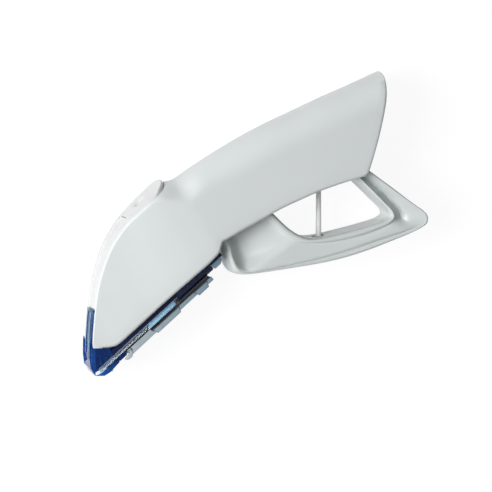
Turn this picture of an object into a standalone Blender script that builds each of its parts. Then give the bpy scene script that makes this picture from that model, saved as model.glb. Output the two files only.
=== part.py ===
# Skin stapler, lying on its right side. Sizes are in millimetres and scaled to metres at the end.
# X runs from the nose towards the tail, Y from the trigger up to the back of the grip,
# Z from the table up to the left side. The origin is on the right side's flat face, below the trigger pin.
import bpy
import bmesh
import math
from mathutils import Vector, Matrix

for old in list(bpy.data.objects):
    bpy.data.objects.remove(old, do_unlink=True)

MM = 0.001

# Driving dimensions
HALF_WIDTH = 14.0        # mid-plane to the grip's flat side
GAP = 0.3                # working gap between neighbouring pieces
SEAM = 0.15              # half of the gap between the two casings
COVER_THICK = 1.5        # spine cover
TRIGGER_TRAVEL = 11.0    # degrees, squeezed
RAM_STROKE = 7.2
PLUNGER_LIFT = 7.42
WIRE = 0.5               # staple wire
STAPLE_COUNT = 35
STAPLE_PITCH = 0.681     # along the magazine
STAPLE_WIDTH = 12.0
STAPLE_LEG = 3.0
RAM_HALF = STAPLE_WIDTH / 2 + 0.2
COLUMN_HALF = RAM_HALF + 0.4     # inside half width of the nose channel and the magazine
MAG_HALF = COLUMN_HALF + 0.9     # outside half width of the magazine
WALL_OUT = COLUMN_HALF + 1.0     # outside half width of the nose guide
SPRING_Z = RAM_HALF - 1.6        # feed springs, off the mid-plane
SLEEVE_END = 43.0        # along the magazine
CLIP_LENGTH = 4.2
PLATE_THICK = 0.7        # folded steel
FEED_TRAVEL = 23.0
PIN_RADIUS = 2.0         # trigger pin
HUB_RADIUS = 5.0
HUB_HALF = 6.5
ARM_HALF = 3.0
DRIVE_X, DRIVE_Y = -28.0, -13.0
DRIVE_RADIUS = 1.5
LEVER_HALF = 8.7
SLOT_HALF = LEVER_HALF + 0.6
RAM_FRONT = -42.7        # front face of the ram blade
RAM_THICK = 0.8
STRUT_X = 38.9
DOWEL_RADIUS = 1.5
DOWELS = ((-24.5, 1.0), (16.0, 22.0), (51.0, 34.8))

# Magazine frame: s runs up the slope from the nose, d runs outwards from the casing's lower edge
SLOPE = math.radians(41.6)
AX, AY = math.cos(SLOPE), math.sin(SLOPE)
MAG_X, MAG_Y = -35.4, -41.5


def slope_point(s, d):
    return (MAG_X + AX * s + AY * d, MAG_Y + AY * s - AX * d)


# Shape tools
def finish_mesh(name, bm):
    bmesh.ops.remove_doubles(bm, verts=bm.verts, dist=0.0005)
    bmesh.ops.dissolve_degenerate(bm, edges=bm.edges, dist=0.0005)
    bmesh.ops.connect_verts_nonplanar(bm, angle_limit=0.00001, faces=bm.faces)
    bmesh.ops.recalc_face_normals(bm, faces=bm.faces)
    mesh = bpy.data.meshes.new(name)
    bm.to_mesh(mesh)
    bm.free()
    obj = bpy.data.objects.new(name, mesh)
    bpy.context.scene.collection.objects.link(obj)
    return obj


def loft(name, rings):
    bm = bmesh.new()
    rows = [[bm.verts.new(p) for p in ring] for ring in rings]
    count = len(rows[0])
    for a, b in zip(rows, rows[1:]):
        for i in range(count):
            j = (i + 1) % count
            bm.faces.new((a[i], a[j], b[j], b[i]))
    bm.faces.new(rows[0][::-1])
    bm.faces.new(rows[-1])
    return finish_mesh(name, bm)


def prism(name, outline, z0, z1):
    low = [(x, y, z0) for x, y in outline]
    high = [(x, y, z1) for x, y in outline]
    return loft(name, [low, high])


def slope_prism(name, outline, z0, z1):
    return prism(name, [slope_point(s, d) for s, d in outline], z0, z1)


def box(name, x0, x1, y0, y1, z0, z1):
    return prism(name, [(x0, y0), (x1, y0), (x1, y1), (x0, y1)], z0, z1)


def rod(name, start, end, radii, sides=20):
    # a turned piece: radii is a list of (share of the length, radius)
    start, end = Vector(start), Vector(end)
    along = end - start
    side = along.cross(Vector((0, 0, 1)))
    if side.length < 1e-6:
        side = Vector((1, 0, 0))
    side.normalize()
    up = along.cross(side).normalized()
    rings = []
    for share, radius in radii:
        centre = start + along * share
        rings.append([tuple(centre + side * radius * math.cos(a) + up * radius * math.sin(a))
                      for a in (2 * math.pi * i / sides for i in range(sides))])
    return loft(name, rings)


def combine(obj, other, how):
    mod = obj.modifiers.new(how, "BOOLEAN")
    mod.operation = how
    mod.solver = "EXACT"
    mod.object = other
    bpy.context.view_layer.update()
    ready = obj.evaluated_get(bpy.context.evaluated_depsgraph_get())
    mesh = bpy.data.meshes.new_from_object(ready)
    obj.modifiers.clear()
    obj.data = mesh
    bm = bmesh.new()
    bm.from_mesh(mesh)
    bmesh.ops.remove_doubles(bm, verts=bm.verts, dist=0.0005)
    bmesh.ops.dissolve_degenerate(bm, edges=bm.edges, dist=0.0005)
    bm.to_mesh(mesh)
    bm.free()
    bpy.data.objects.remove(other, do_unlink=True)
    return obj


def cut(obj, other):
    return combine(obj, other, "DIFFERENCE")


def add(obj, other):
    return combine(obj, other, "UNION")


def keep(obj, other):
    return combine(obj, other, "INTERSECT")


PIECES = []


def piece(obj, name, colour, rough=0.4, metal=0.0, angle=32):
    bm = bmesh.new()
    bm.from_mesh(obj.data)
    bmesh.ops.remove_doubles(bm, verts=bm.verts, dist=0.002)
    bmesh.ops.dissolve_degenerate(bm, edges=bm.edges, dist=0.002)
    bmesh.ops.recalc_face_normals(bm, faces=bm.faces)
    bm.to_mesh(obj.data)
    bm.free()
    obj.name = name
    obj.data.name = name
    mat = bpy.data.materials.new(name + "_material")
    mat.use_nodes = True
    shader = mat.node_tree.nodes["Principled BSDF"]
    shader.inputs["Base Color"].default_value = (*colour, 1)
    shader.inputs["Roughness"].default_value = rough
    shader.inputs["Metallic"].default_value = metal
    obj.data.materials.clear()
    obj.data.materials.append(mat)
    obj.data.shade_smooth()
    obj.data.set_sharp_from_angle(angle=math.radians(angle))
    PIECES.append(obj)
    return obj


WHITE = (0.72, 0.75, 0.74)
BLUE = (0.01, 0.04, 0.20)
PALE = (0.35, 0.50, 0.62)
STEEL = (0.55, 0.60, 0.64)

# Casing stations from the tail to the nose: back or front edge, lower edge, half width,
# depth of the rounded back, squareness of its curve, outward bow, wall
STATIONS = [
    (61.6, 51.3, 54.3, 19.6, 13.3, 10.5, 2.3, 1.0, 1.7),
    (61.0, 53.8, 52.2, 16.7, 14.0, 12.0, 2.3, 1.1, 1.7),
    (49.6, 48.8, 44.0, 14.3, 14.0, 12.5, 2.3, 0.4, 1.7),
    (39.4, 44.5, 36.5, 11.8, 14.0, 12.5, 2.3, 0.0, 1.7),
    (29.2, 39.9, 29.5, 8.9, 14.0, 12.0, 2.3, 0.0, 1.7),
    (19.0, 35.3, 22.5, 5.8, 14.0, 11.5, 2.3, 0.0, 1.7),
    (8.6, 29.9, 15.5, 2.1, 14.0, 11.0, 2.3, 0.0, 1.7),
    (-1.7, 23.8, 9.0, -1.3, 14.0, 10.0, 2.4, 0.0, 1.7),
    (-8.2, 19.6, 1.0, -5.8, 14.0, 8.5, 2.5, 0.0, 1.7),
    (-14.2, 15.8, 0.1, -9.2, 14.0, 8.6, 2.15, 0.0, 1.7),
    (-18.6, 14.7, -3.0, -12.7, 13.75, 7.6, 2.2, 0.0, 1.6),
    (-24.0, 10.9, -7.6, -16.8, 13.25, 3.4, 3.6, 0.0, 1.5),
    (-29.3, 5.8, -13.5, -22.0, 12.25, 2.6, 4.2, 0.0, 1.4),
    (-33.4, 1.2, -18.5, -26.5, 11.2, 2.0, 4.8, 0.0, 1.3),
    (-37.5, -5.0, -23.3, -30.8, 10.2, 1.8, 5.0, 0.0, 1.3),
    (-40.4, -11.5, -27.8, -34.8, 9.5, 1.7, 5.0, 0.0, 1.2),
    (-42.3, -18.0, -31.5, -38.0, 8.9, 1.6, 5.0, 0.0, 1.2),
    (-43.5, -24.0, -34.0, -40.3, 8.5, 1.5, 5.0, 0.0, 1.1),
    (-44.2, -30.0, -36.2, -42.2, 8.1, 1.5, 5.0, 0.0, 1.1),
    (-44.7, -36.0, -38.6, -43.4, 7.8, 1.4, 5.0, 0.0, 1.1),
    (-45.0, -41.2, -41.6, -43.8, 7.6, 1.2, 5.0, 0.0, 1.1),
]


def station(u):
    i = min(int(u), len(STATIONS) - 2)
    f = u - i
    return [a + (b - a) * f for a, b in zip(STATIONS[i], STATIONS[i + 1])]


def edge_normal(u, which):
    # outward normal in the side view at the upper (0) or lower (2) edge
    a = station(max(u - 0.5, 0))
    b = station(min(u + 0.5, len(STATIONS) - 1))
    tx, ty = b[which] - a[which], b[which + 1] - a[which + 1]
    n = math.hypot(tx, ty)
    return (ty / n, -tx / n) if which == 0 else (-ty / n, tx / n)


def frame_at(u, inset_top=0.0, inset_low=0.0):
    tx, ty, bx, by, w, rt, sq, bow, wall = station(u)
    h = math.hypot(tx - bx, ty - by)
    dx, dy = (tx - bx) / h, (ty - by) / h
    nt, nb = edge_normal(u, 0), edge_normal(u, 2)
    top = inset_top / max(abs(nt[0] * dx + nt[1] * dy), 0.4)
    low = inset_low / max(abs(nb[0] * dx + nb[1] * dy), 0.4)
    return bx, by, dx, dy, h, low, h - top, w, rt, sq, bow


def casing_ring(u, side, wall=0.0, middle=SEAM):
    # half of the casing's section at station u, from the lower edge round the side to the back
    bx, by, dx, dy, h, v0, v1, w, rt, sq, bow = frame_at(u, wall, wall)
    w -= wall
    rt = max(rt - wall, 0.4)
    rb = 1.3 if wall == 0 else 0.5
    pts = [(v0, middle), (v0, w - rb), (v0 + rb * 0.3, w - rb * 0.3), (v0 + rb, w)]
    side_v = v1 - rt
    pts += [(v0 + rb + (side_v - v0 - rb) * f, w) for f in (0.5, 1.0)]
    for deg in (18, 34, 48, 60, 72, 82):
        a = math.radians(deg)
        pts.append((side_v + rt * math.sin(a) ** (2 / sq), w * math.cos(a) ** (2 / sq)))
    pts.append((v1, middle))
    ring = []
    for v, half in pts:
        f = min(max(v / h, 0), 1)
        out = bow * 4 * f * (1 - f)
        ring.append((bx + dx * v + dy * out, by + dy * v - dx * out, HALF_WIDTH + side * half))
    return ring


def full_ring(u):
    near = casing_ring(u, 1, middle=0.0)
    far = casing_ring(u, -1, middle=0.0)
    return near + far[-2:0:-1]


def slab(name, rows):
    # band under the front edge: rows of (station, half width, depth)
    rings = []
    for u, half, depth in rows:
        bx, by, dx, dy, h, _, v, *_ = frame_at(u, depth, 0)
        a = (bx + dx * v, by + dy * v)
        b = (bx + dx * (h + 4), by + dy * (h + 4))
        rings.append([(*a, HALF_WIDTH - half), (*a, HALF_WIDTH + half),
                      (*b, HALF_WIDTH + half), (*b, HALF_WIDTH - half)])
    return loft(name, rings)


# Spine cover: station, half width and how far it stands proud at its leaf end
last = len(STATIONS) - 1
RIM = 1.0                # casing left beside the cover
LEAF_START, LEAF_END = 10.03, 11.35


def band_row(u):
    share = max(LEAF_END - u, 0) / (LEAF_END - LEAF_START)
    return u, (station(u)[4] - RIM) * (1 - share ** 2) ** 0.7, 0.9 * share ** 2


BAND = [band_row(u) for u in (10.07, 10.14, 10.25, 10.45, 10.75, 11.05, 11.6, 12.2, 13.0, 14.0, 15.0, 16.0, 17.0)]


def cover_ring(u, half, lift):
    # crowned strip, COVER_THICK deep, that follows the casing's front edge
    bx, by, dx, dy, h, _, v, w, rt, sq, _ = frame_at(u, COVER_THICK, 0)
    rt, sq = min(rt, 3.4), max(sq, 3.6)
    top = []
    for k in (-1, -0.88, -0.6, -0.3, 0, 0.3, 0.6, 0.88, 1):
        drop = rt * (1 - (1 - (abs(k) * half / w) ** sq) ** (1 / sq))
        top.append((k * half, h + lift - drop))
    low = [(k * half, v + lift * 0.4 - 0.15 * abs(k)) for k in (1, 0, -1)]
    return [(bx + dx * q, by + dy * q, HALF_WIDTH + z) for z, q in top + low]


def casing(name, side):
    shell = loft(name, [casing_ring(u, side) for u in range(len(STATIONS))])
    inner_at = [1.06] + [float(i) for i in range(2, last)] + [last - 0.4]
    inner = []
    for u in inner_at:
        wall = station(u)[8]
        inner.append(casing_ring(u, side, wall=wall, middle=-1.0))
    cut(shell, loft("cavity", inner))
    zc = HALF_WIDTH
    # bearing for the trigger pin and three dowel bosses, each on the side wall
    add(shell, rod("boss", (0, 0, zc + side * 12.9), (0, 0, zc + side * (HUB_HALF + 0.4)),
                   ((0, 4.4), (1, 4.1)), 24))
    for x, y in DOWELS:
        outer = 12.9 if x > -20 else 11.6
        add(shell, rod("boss", (x, y, zc + side * outer), (x, y, zc + side * SEAM), ((0, 3.1), (1, 2.9)), 18))
    # shelf that the return spring pushes against
    z0, z1 = sorted((zc + side * SEAM, zc + side * 10.6))
    add(shell, box("shelf", STRUT_X - 5.5, STRUT_X + 5.5, 36.0, 37.6, z0, z1))
    cut(shell, rod("bore", (0, 0, zc + side * 12.2), (0, 0, zc + side * 0.0),
                   ((0, PIN_RADIUS + GAP), (1, PIN_RADIUS + GAP)), 24))
    for x, y in DOWELS:
        cut(shell, rod("bore", (x, y, zc + side * 9.3), (x, y, zc - side * 1),
                       ((0, DOWEL_RADIUS + GAP), (1, DOWEL_RADIUS + GAP)), 18))
    # openings: trigger body, plunger, rear arm, nose column
    half = SLOT_HALF
    cut(shell, prism("front_slot", [(0.75, -14), (0.75, -6.6), (-0.4, -5.6), (-0.75, -4.7), (-0.5, -4.2), (1.0, -3.6),
                                    (3.2, -2.4), (8, 2.2), (20, 8.6), (25.5, 10.6), (25.5, 4.0), (10, -4.5)],
                     zc - half, zc + half))
    cut(shell, box("strut_slot", STRUT_X - 1.5, STRUT_X + 1.5, 8, 18, zc - 2.4, zc + 2.4))
    cut(shell, prism("rear_slot", [(46.0, 10), (46.0, 19), (52.0, 22), (53.5, 30.5), (62, 30.5), (62, 10)],
                     zc - half, zc + half))
    cut(shell, prism("column", [(-44.6, -29.6), (-40.6, -29.6), (-36.6, -38), (-36.6, -48), (-44.6, -48)],
                     zc - COLUMN_HALF, zc + COLUMN_HALF))
    pocket = [(u, w + GAP, COVER_THICK + 0.5) for u, w, _ in BAND]
    pocket[0] = (LEAF_START - 0.06, pocket[0][1], COVER_THICK + 0.5)
    pocket += [(u, station(u)[4] - RIM + GAP, COVER_THICK + 0.5) for u in (18.0, 19.0, last - 0.02)]
    cut(shell, slab("pocket", pocket))
    cut(shell, box("pocket_end", -46, -42.6, -46, -40.6, zc - station(last)[4] + RIM - GAP, zc + station(last)[4] - RIM + GAP))
    return shell


left = piece(casing("left_casing", 1), "left_casing", WHITE)
right = piece(casing("right_casing", -1), "right_casing", WHITE)

# Spine cover, with the shallow channel, the oval dimple and the pin hole
cover = loft("spine_cover", [cover_ring(*row) for row in BAND + [(17.8, station(17.8)[4] - RIM, 0.0)]])
cut(cover, slab("channel", [(u, 4.2, 0.7) for u in (13.0, 14.0, 15.0, 16.0, 17.0, 18.6)]))


def dish(name, x, y, nx, ny, rows, sides=20):
    # oval hollow: rows of (height over the surface, half length along it, half width across it)
    rings = []
    for height, along, across in rows:
        rings.append([(x + nx * height + ny * along * math.cos(a), y + ny * height - nx * along * math.cos(a),
                       HALF_WIDTH + across * math.sin(a)) for a in (2 * math.pi * i / sides for i in range(sides))])
    return loft(name, rings)


cut(cover, dish("dimple", -26.5, 8.45, -0.69, 0.72, ((-0.7, 0.5, 1.6), (-0.5, 1.0, 2.5), (0.0, 1.4, 3.2), (1.0, 1.9, 3.9))))
cut(cover, rod("pin_hole", (-27.0, 4.7, HALF_WIDTH), (-31.0, 8.6, HALF_WIDTH), ((0, 0.55), (1, 0.55)), 10))
piece(cover, "spine_cover", WHITE)

# Nose guide: a front strip set between the casings' rims, and side walls below them
strip_side = [(-44.3, -29.3), (-44.9, -36), (-45.2, -41), (-45.3, -45), (-45.3, -47), (-43.7, -47),
              (-43.6, -44.2), (-43.5, -41), (-43.25, -36), (-42.8, -30.9)]
wall_side = [(-45.3, -44.2), (-45.3, -50.2), (-43.7, -52.9), (-40.4, -52.9), (-38.4, -51.7), (-37.3, -50.6),
             slope_point(-3.85, 5.2), slope_point(-3.85, 0.3), (-39.4, -44.2)]
guide = prism("nose_guide", wall_side, HALF_WIDTH - WALL_OUT, HALF_WIDTH + WALL_OUT)
cut(guide, box("channel", -43.6, -30, -60, -43.0, HALF_WIDTH - COLUMN_HALF, HALF_WIDTH + COLUMN_HALF))


def strip_half(y):
    # the strip lies between the casings' rims and widens with them
    return station(last - 2 * min(max((y + 44) / 14, 0), 1))[4] - RIM - GAP


add(guide, loft("strip", [[(x, y, HALF_WIDTH + side * strip_half(y)) for x, y in strip_side] for side in (-1, 1)]))
# two ribs stand on the strip and two wings beside the tip
for z in (3.4, -3.4):
    add(guide, prism("rib", [(-44.1, -30.4), (-44.7, -30.9), (-45.3, -38), (-45.65, -45), (-45.2, -47.5), (-44.2, -40)],
                     HALF_WIDTH + z - 0.5, HALF_WIDTH + z + 0.5))
wing = [(-44.6, -44.4), (-45.3, -40.3), (-45.6, -39.9), (-45.8, -41.5), (-45.85, -46.5), (-45.4, -50.0), (-44.8, -50.6)]
for z in (WALL_OUT - 0.55, 0.55 - WALL_OUT):
    add(guide, prism("wing", wing, HALF_WIDTH + z - 0.5, HALF_WIDTH + z + 0.5))
piece(guide, "nose_guide", BLUE, 0.15)

# Magazine body: roof and two side walls, closed below by the base plate
roof = [(-3.5, 0.3), (26.5, 0.3), (26.5, 3.7), (0.2, 3.7), (-0.4, 5.1), (-3.5, 5.1)]
mag = slope_prism("magazine_body", roof, HALF_WIDTH - MAG_HALF, HALF_WIDTH + MAG_HALF)
cut(mag, slope_prism("run", [(-5, 0.95), (25.6, 0.95), (25.6, 7), (-5, 7)],
                     HALF_WIDTH - COLUMN_HALF, HALF_WIDTH + COLUMN_HALF))
for z in (SPRING_Z, -SPRING_Z):
    c0, c1 = slope_point(24, 2.4), slope_point(28, 2.4)
    cut(mag, rod("port", (*c0, HALF_WIDTH + z), (*c1, HALF_WIDTH + z), ((0, 1.35), (1, 1.35)), 16))
piece(mag, "magazine_body", BLUE, 0.15)

# Base plate: folded steel with three pairs of tabs
plate = slope_prism("magazine_plate", [(0.6, 4.0), (40.4, 4.0), (40.4, 6.0), (0.6, 6.0)],
                    HALF_WIDTH - MAG_HALF, HALF_WIDTH + MAG_HALF)
cut(plate, slope_prism("fold", [(-5, 3.0), (42, 3.0), (42, 5.3), (-5, 5.3)],
                       HALF_WIDTH - MAG_HALF + PLATE_THICK, HALF_WIDTH + MAG_HALF - PLATE_THICK))
add(plate, slope_prism("tongue", [(-8.6, 5.5), (-7.6, 5.05), (1.9, 5.1), (1.7, 5.86), (-7.8, 5.9)],
                       HALF_WIDTH - 2.6, HALF_WIDTH + 2.6))
tabs = (((0.7, 4.3), (1.9, 4.5), (1.6, 5.9), (0.4, 6.6), (-0.9, 6.6), (-1.8, 6.0), (-2.1, 5.4), (0.85, 5.1)),
        ((12.4, 4.5), (24.4, 4.5), (24.1, 6.6), (12.9, 6.6)),
        ((32.3, 4.7), (37.9, 4.7), (37.5, 6.8), (32.7, 6.8)))
for tab in tabs:
    for z in (MAG_HALF + 0.15, -MAG_HALF - 0.15):
        add(plate, slope_prism("tab", tab, HALF_WIDTH + z - 0.3, HALF_WIDTH + z + 0.3))
piece(plate, "magazine_plate", STEEL, 0.3, 1.0)

# Staple rail, with the anvil at its lower end
rail_top = 1.5 + WIRE / 2 + GAP
rail = slope_prism("staple_rail", [(-11.2, rail_top), (23.5, rail_top), (23.5, 3.9), (-9.4, 3.9), (-11.2, 2.9)],
                   HALF_WIDTH - 2.7, HALF_WIDTH + 2.7)
piece(rail, "staple_rail", STEEL, 0.3, 1.0)

# Staples: each stands parallel to the ram, crown above the rail
S_FIRST = -10.7


def staple_rings(cx, cy):
    r = WIRE / 2
    half = STAPLE_WIDTH / 2
    path = [(-half - 0.1, -STAPLE_LEG), (-half, -0.55), (-half + 0.5, 0.0),
            (half - 0.5, 0.0), (half, -0.55), (half + 0.1, -STAPLE_LEG)]
    rings = []
    for i, (z, y) in enumerate(path):
        a = path[max(i - 1, 0)]
        b = path[min(i + 1, len(path) - 1)]
        tz, ty = b[0] - a[0], b[1] - a[1]
        n = math.hypot(tz, ty)
        nz, ny = -ty / n, tz / n
        rings.append([(cx + r * p, cy + y + ny * r * q, HALF_WIDTH + z + nz * r * q)
                      for p, q in ((1, 0), (0, 1), (-1, 0), (0, -1))])
    return rings


bm = bmesh.new()
for n in range(STAPLE_COUNT):
    sx, sy = slope_point(S_FIRST + n * STAPLE_PITCH, 1.5)
    rows = [[bm.verts.new(p) for p in ring] for ring in staple_rings(sx, sy)]
    for a, b in zip(rows, rows[1:]):
        for i in range(4):
            bm.faces.new((a[i], a[(i + 1) % 4], b[(i + 1) % 4], b[i]))
    bm.faces.new(rows[0][::-1])
    bm.faces.new(rows[-1])
strip = finish_mesh("staples", bm)
# the strip is lightly bonded along both ends of the crowns
s_last = S_FIRST + (STAPLE_COUNT - 1) * STAPLE_PITCH
for z in (STAPLE_WIDTH / 2 - 2, 2 - STAPLE_WIDTH / 2):
    add(strip, slope_prism("bond", [(S_FIRST, 1.38), (s_last, 1.38), (s_last, 1.62), (S_FIRST, 1.62)],
                           HALF_WIDTH + z - 0.12, HALF_WIDTH + z + 0.12))
piece(strip, "staples", STEEL, 0.25, 1.0)

# Follower: saddle over the rail, upright front face
last_x, last_y = slope_point(s_last, 1.5)
face_x = last_x + WIRE / 2 + GAP
s_low = (face_x - MAG_X - AY * 3.6) / AX
s_high = (face_x - MAG_X - AY * 1.25) / AX
follower = slope_prism("follower", [(s_high, 1.25), (24.6, 1.25), (24.6, 3.6), (s_low, 3.6)],
                       HALF_WIDTH - RAM_HALF, HALF_WIDTH + RAM_HALF)
cut(follower, slope_prism("saddle", [(0, rail_top - GAP), (30, rail_top - GAP), (30, 6), (0, 6)],
                          HALF_WIDTH - 3.0, HALF_WIDTH + 3.0))
piece(follower, "follower", PALE, 0.35)

# Feed springs in their sleeves, on rods held by the tail clip


def coil(name, start, end, radius, wire, turns, per_turn=9, sides=4):
    start, end = Vector(start), Vector(end)
    along = end - start
    side = along.cross(Vector((0, 0, 1))).normalized()
    up = along.cross(side).normalized()
    steps = int(turns * per_turn)
    centres = []
    for i in range(steps + 1):
        a = 2 * math.pi * i / per_turn
        centres.append(start + along * (i / steps) + side * radius * math.cos(a) + up * radius * math.sin(a))
    rings = []
    for i, c in enumerate(centres):
        t = (centres[min(i + 1, steps)] - centres[max(i - 1, 0)]).normalized()
        axis_point = start + along * (i / steps)
        out = (c - axis_point).normalized()
        third = t.cross(out).normalized()
        rings.append([tuple(c + out * wire / 2 * math.cos(b) + third * wire / 2 * math.sin(b))
                      for b in (2 * math.pi * k / sides + math.pi / sides for k in range(sides))])
    return loft(name, rings)


for tag, z in (("left", SPRING_Z), ("right", -SPRING_Z)):
    zz = HALF_WIDTH + z
    p = lambda s: (*slope_point(s, 2.4), zz)
    piece(coil("feed_spring", p(25.1), p(SLEEVE_END - 0.1), 0.85, 0.3, 16, 8), "feed_spring_" + tag, STEEL, 0.25, 1.0)
    sleeve = rod("sleeve", p(26.8), p(SLEEVE_END), ((0, 1.7), (1, 1.7)), 20)
    cut(sleeve, rod("inside", p(26), p(SLEEVE_END + 1), ((0, 1.3), (1, 1.3)), 16))
    piece(sleeve, "spring_sleeve_" + tag, BLUE, 0.12)
    piece(rod("feed_rod", p(27.0), p(SLEEVE_END + 1.8), ((0, 0.3), (0.02, 0.4), (1, 0.4)), 10), "feed_rod_" + tag,
          STEEL, 0.25, 1.0)

clip_start = SLEEVE_END + GAP
clip_end = clip_start + CLIP_LENGTH
clip = slope_prism("tail_clip", [(clip_start, 0.4), (clip_end - 0.7, 0.4), (clip_end, 1.2), (clip_end, 3.0),
                                 (clip_end - 1.3, 4.1), (clip_start, 4.1)], HALF_WIDTH - COLUMN_HALF, HALF_WIDTH + COLUMN_HALF)
for z in (SPRING_Z, -SPRING_Z):
    a, b = slope_point(clip_start - 0.9, 2.4), slope_point(clip_start + 1.9, 2.4)
    cut(clip, rod("socket", (*a, HALF_WIDTH + z), (*b, HALF_WIDTH + z), ((0, 0.7), (1, 0.7)), 12))
piece(clip, "tail_clip", PALE, 0.35)

# Ram blade: forked below so that it passes the anvil
ring = [(-45.4, -RAM_HALF), (-45.4, -3.3), (-37.5, -3.3), (-37.5, 3.3), (-45.4, 3.3), (-45.4, RAM_HALF),
        (-31.2, RAM_HALF), (-31.2, -RAM_HALF)]
ram = loft("ram", [[(x, y, HALF_WIDTH + z) for y, z in ring] for x in (RAM_FRONT, RAM_FRONT + RAM_THICK)])
PEGS = (3.6, -3.6)
for z in PEGS:
    cut(ram, rod("hole", (-45, -33.6, HALF_WIDTH + z), (-40, -33.6, HALF_WIDTH + z), ((0, 1.2), (1, 1.2)), 14))
piece(ram, "ram", STEEL, 0.25, 1.0)

# Ram carrier: two cheeks on either side of the trigger arm, joined at the foot
carrier_side = [(-31.6, -9.2), (-24.6, -9.2), (-24.4, -16.8), (-34.2, -28.6), (-38.6, -36.0), (-41.6, -36.0),
                (-41.6, -31.4), (-40.9, -30.4), (-38.6, -22.0), (-35.6, -14.6)]
carrier = prism("ram_carrier", carrier_side, HALF_WIDTH - RAM_HALF, HALF_WIDTH + RAM_HALF)
cut(carrier, prism("fork", [(-45, -24.5), (-36.5, -24.5), (-30, -28), (-20, -25), (-20, 0), (-45, 0)],
                   HALF_WIDTH - ARM_HALF - 0.4, HALF_WIDTH + ARM_HALF + 0.4))
cut(carrier, rod("bore", (DRIVE_X, DRIVE_Y, HALF_WIDTH - 8), (DRIVE_X, DRIVE_Y, HALF_WIDTH + 8),
                 ((0, DRIVE_RADIUS + GAP), (1, DRIVE_RADIUS + GAP)), 18))
for z in PEGS:
    add(carrier, rod("peg", (-39, -33.6, HALF_WIDTH + z), (-42.75, -33.6, HALF_WIDTH + z), ((0, 0.85), (1, 0.8)), 12))
piece(carrier, "ram_carrier", (0.62, 0.65, 0.66), 0.5)
piece(rod("drive_pin", (DRIVE_X, DRIVE_Y, HALF_WIDTH - RAM_HALF), (DRIVE_X, DRIVE_Y, HALF_WIDTH + RAM_HALF),
          ((0, 1.3), (0.02, DRIVE_RADIUS), (0.98, DRIVE_RADIUS), (1, 1.3)), 16), "drive_pin", STEEL, 0.2, 1.0)

# Trigger lever: pairs of points on the finger opening and on the outside, with half width and groove depth.
# The first four lie at the front end, which has a raised bead down its edge.
LEVER = [
    (15.5, 8.5, -1.2, -2.4, 7.6, 1.2), (20.7, 3.7, 1.9, -8.0, 8.3, 2.6), (24.0, 0.4, 2.7, -12.2, 8.6, 3.0),
    (27.0, -2.2, 5.0, -16.0, 8.7, 2.6), (30.5, -4.5, 9.5, -17.4, 8.7, 1.7), (34.2, -5.6, 18.5, -16.8, 8.7, 1.4),
    (38.0, -5.2, 27.5, -15.4, 8.7, 1.5), (42.0, -4.5, 37.0, -13.9, 8.7, 1.6), (47.0, -3.4, 46.5, -12.1, 8.7, 1.7),
    (52.0, -2.2, 55.5, -9.2, 8.7, 1.9), (56.6, -1.0, 63.5, -6.2, 8.7, 2.1), (60.6, 0.3, 71.5, -3.1, 8.7, 2.5),
    (62.7, 1.8, 76.7, -0.8, 8.6, 3.0), (63.2, 3.1, 77.9, 0.9, 8.5, 3.4), (62.3, 4.7, 76.9, 3.2, 8.6, 3.4),
    (59.5, 7.4, 71.6, 7.1, 8.7, 3.2), (55.8, 11.0, 65.2, 11.9, 8.7, 3.0), (51.0, 15.6, 58.4, 16.9, 8.7, 2.8),
    (45.5, 20.8, 52.2, 21.6, 8.4, 2.4),
]


def lever_ring(ix, iy, ox, oy, half, groove, bead):
    length = math.hypot(ox - ix, oy - iy)
    dx, dy = (ox - ix) / length, (oy - iy) / length
    lip = min(0.30 * length, 4.2)
    floor_end = length - lip
    near = min(3.3, length * 0.42)
    shallow = 0.75 + 0.25 * bead
    half_profile = [(0.0, half - 1.5), (0.5, half - 0.35), (1.4, half), (2.4, half - 0.3),
                    (near, half - groove * (1 - 0.5 * bead)), (floor_end, half - groove * shallow),
                    (length - lip * (0.45 + 0.3 * bead), half - 0.25 * groove - 0.2 + 0.4 * bead), (length - 1.1, half - 0.3),
                    (length - 0.25, half - 1.2), (length, half - 2.6)]
    ring = [(ix + dx * v, iy + dy * v, HALF_WIDTH + w) for v, w in half_profile]
    return ring + [(ix + dx * v, iy + dy * v, HALF_WIDTH - w) for v, w in half_profile[::-1]]


BEAD = (1.0, 1.0, 1.0, 0.9, 0.3)
lever = loft("trigger_lever", [lever_ring(*row, BEAD[i] if i < len(BEAD) else 0.0) for i, row in enumerate(LEVER)])
# the hub is made too long, and the room for the bearing bosses then trims its ends
add(lever, rod("hub", (0, 0, HALF_WIDTH - HUB_HALF - 0.6), (0, 0, HALF_WIDTH + HUB_HALF + 0.6),
               ((0, HUB_RADIUS), (1, HUB_RADIUS)), 28))
arm_angle = math.atan2(DRIVE_Y, DRIVE_X)
ux, uy = math.cos(arm_angle), math.sin(arm_angle)


def arm_point(r, off):
    return (ux * r - uy * off, uy * r + ux * off)


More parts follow.
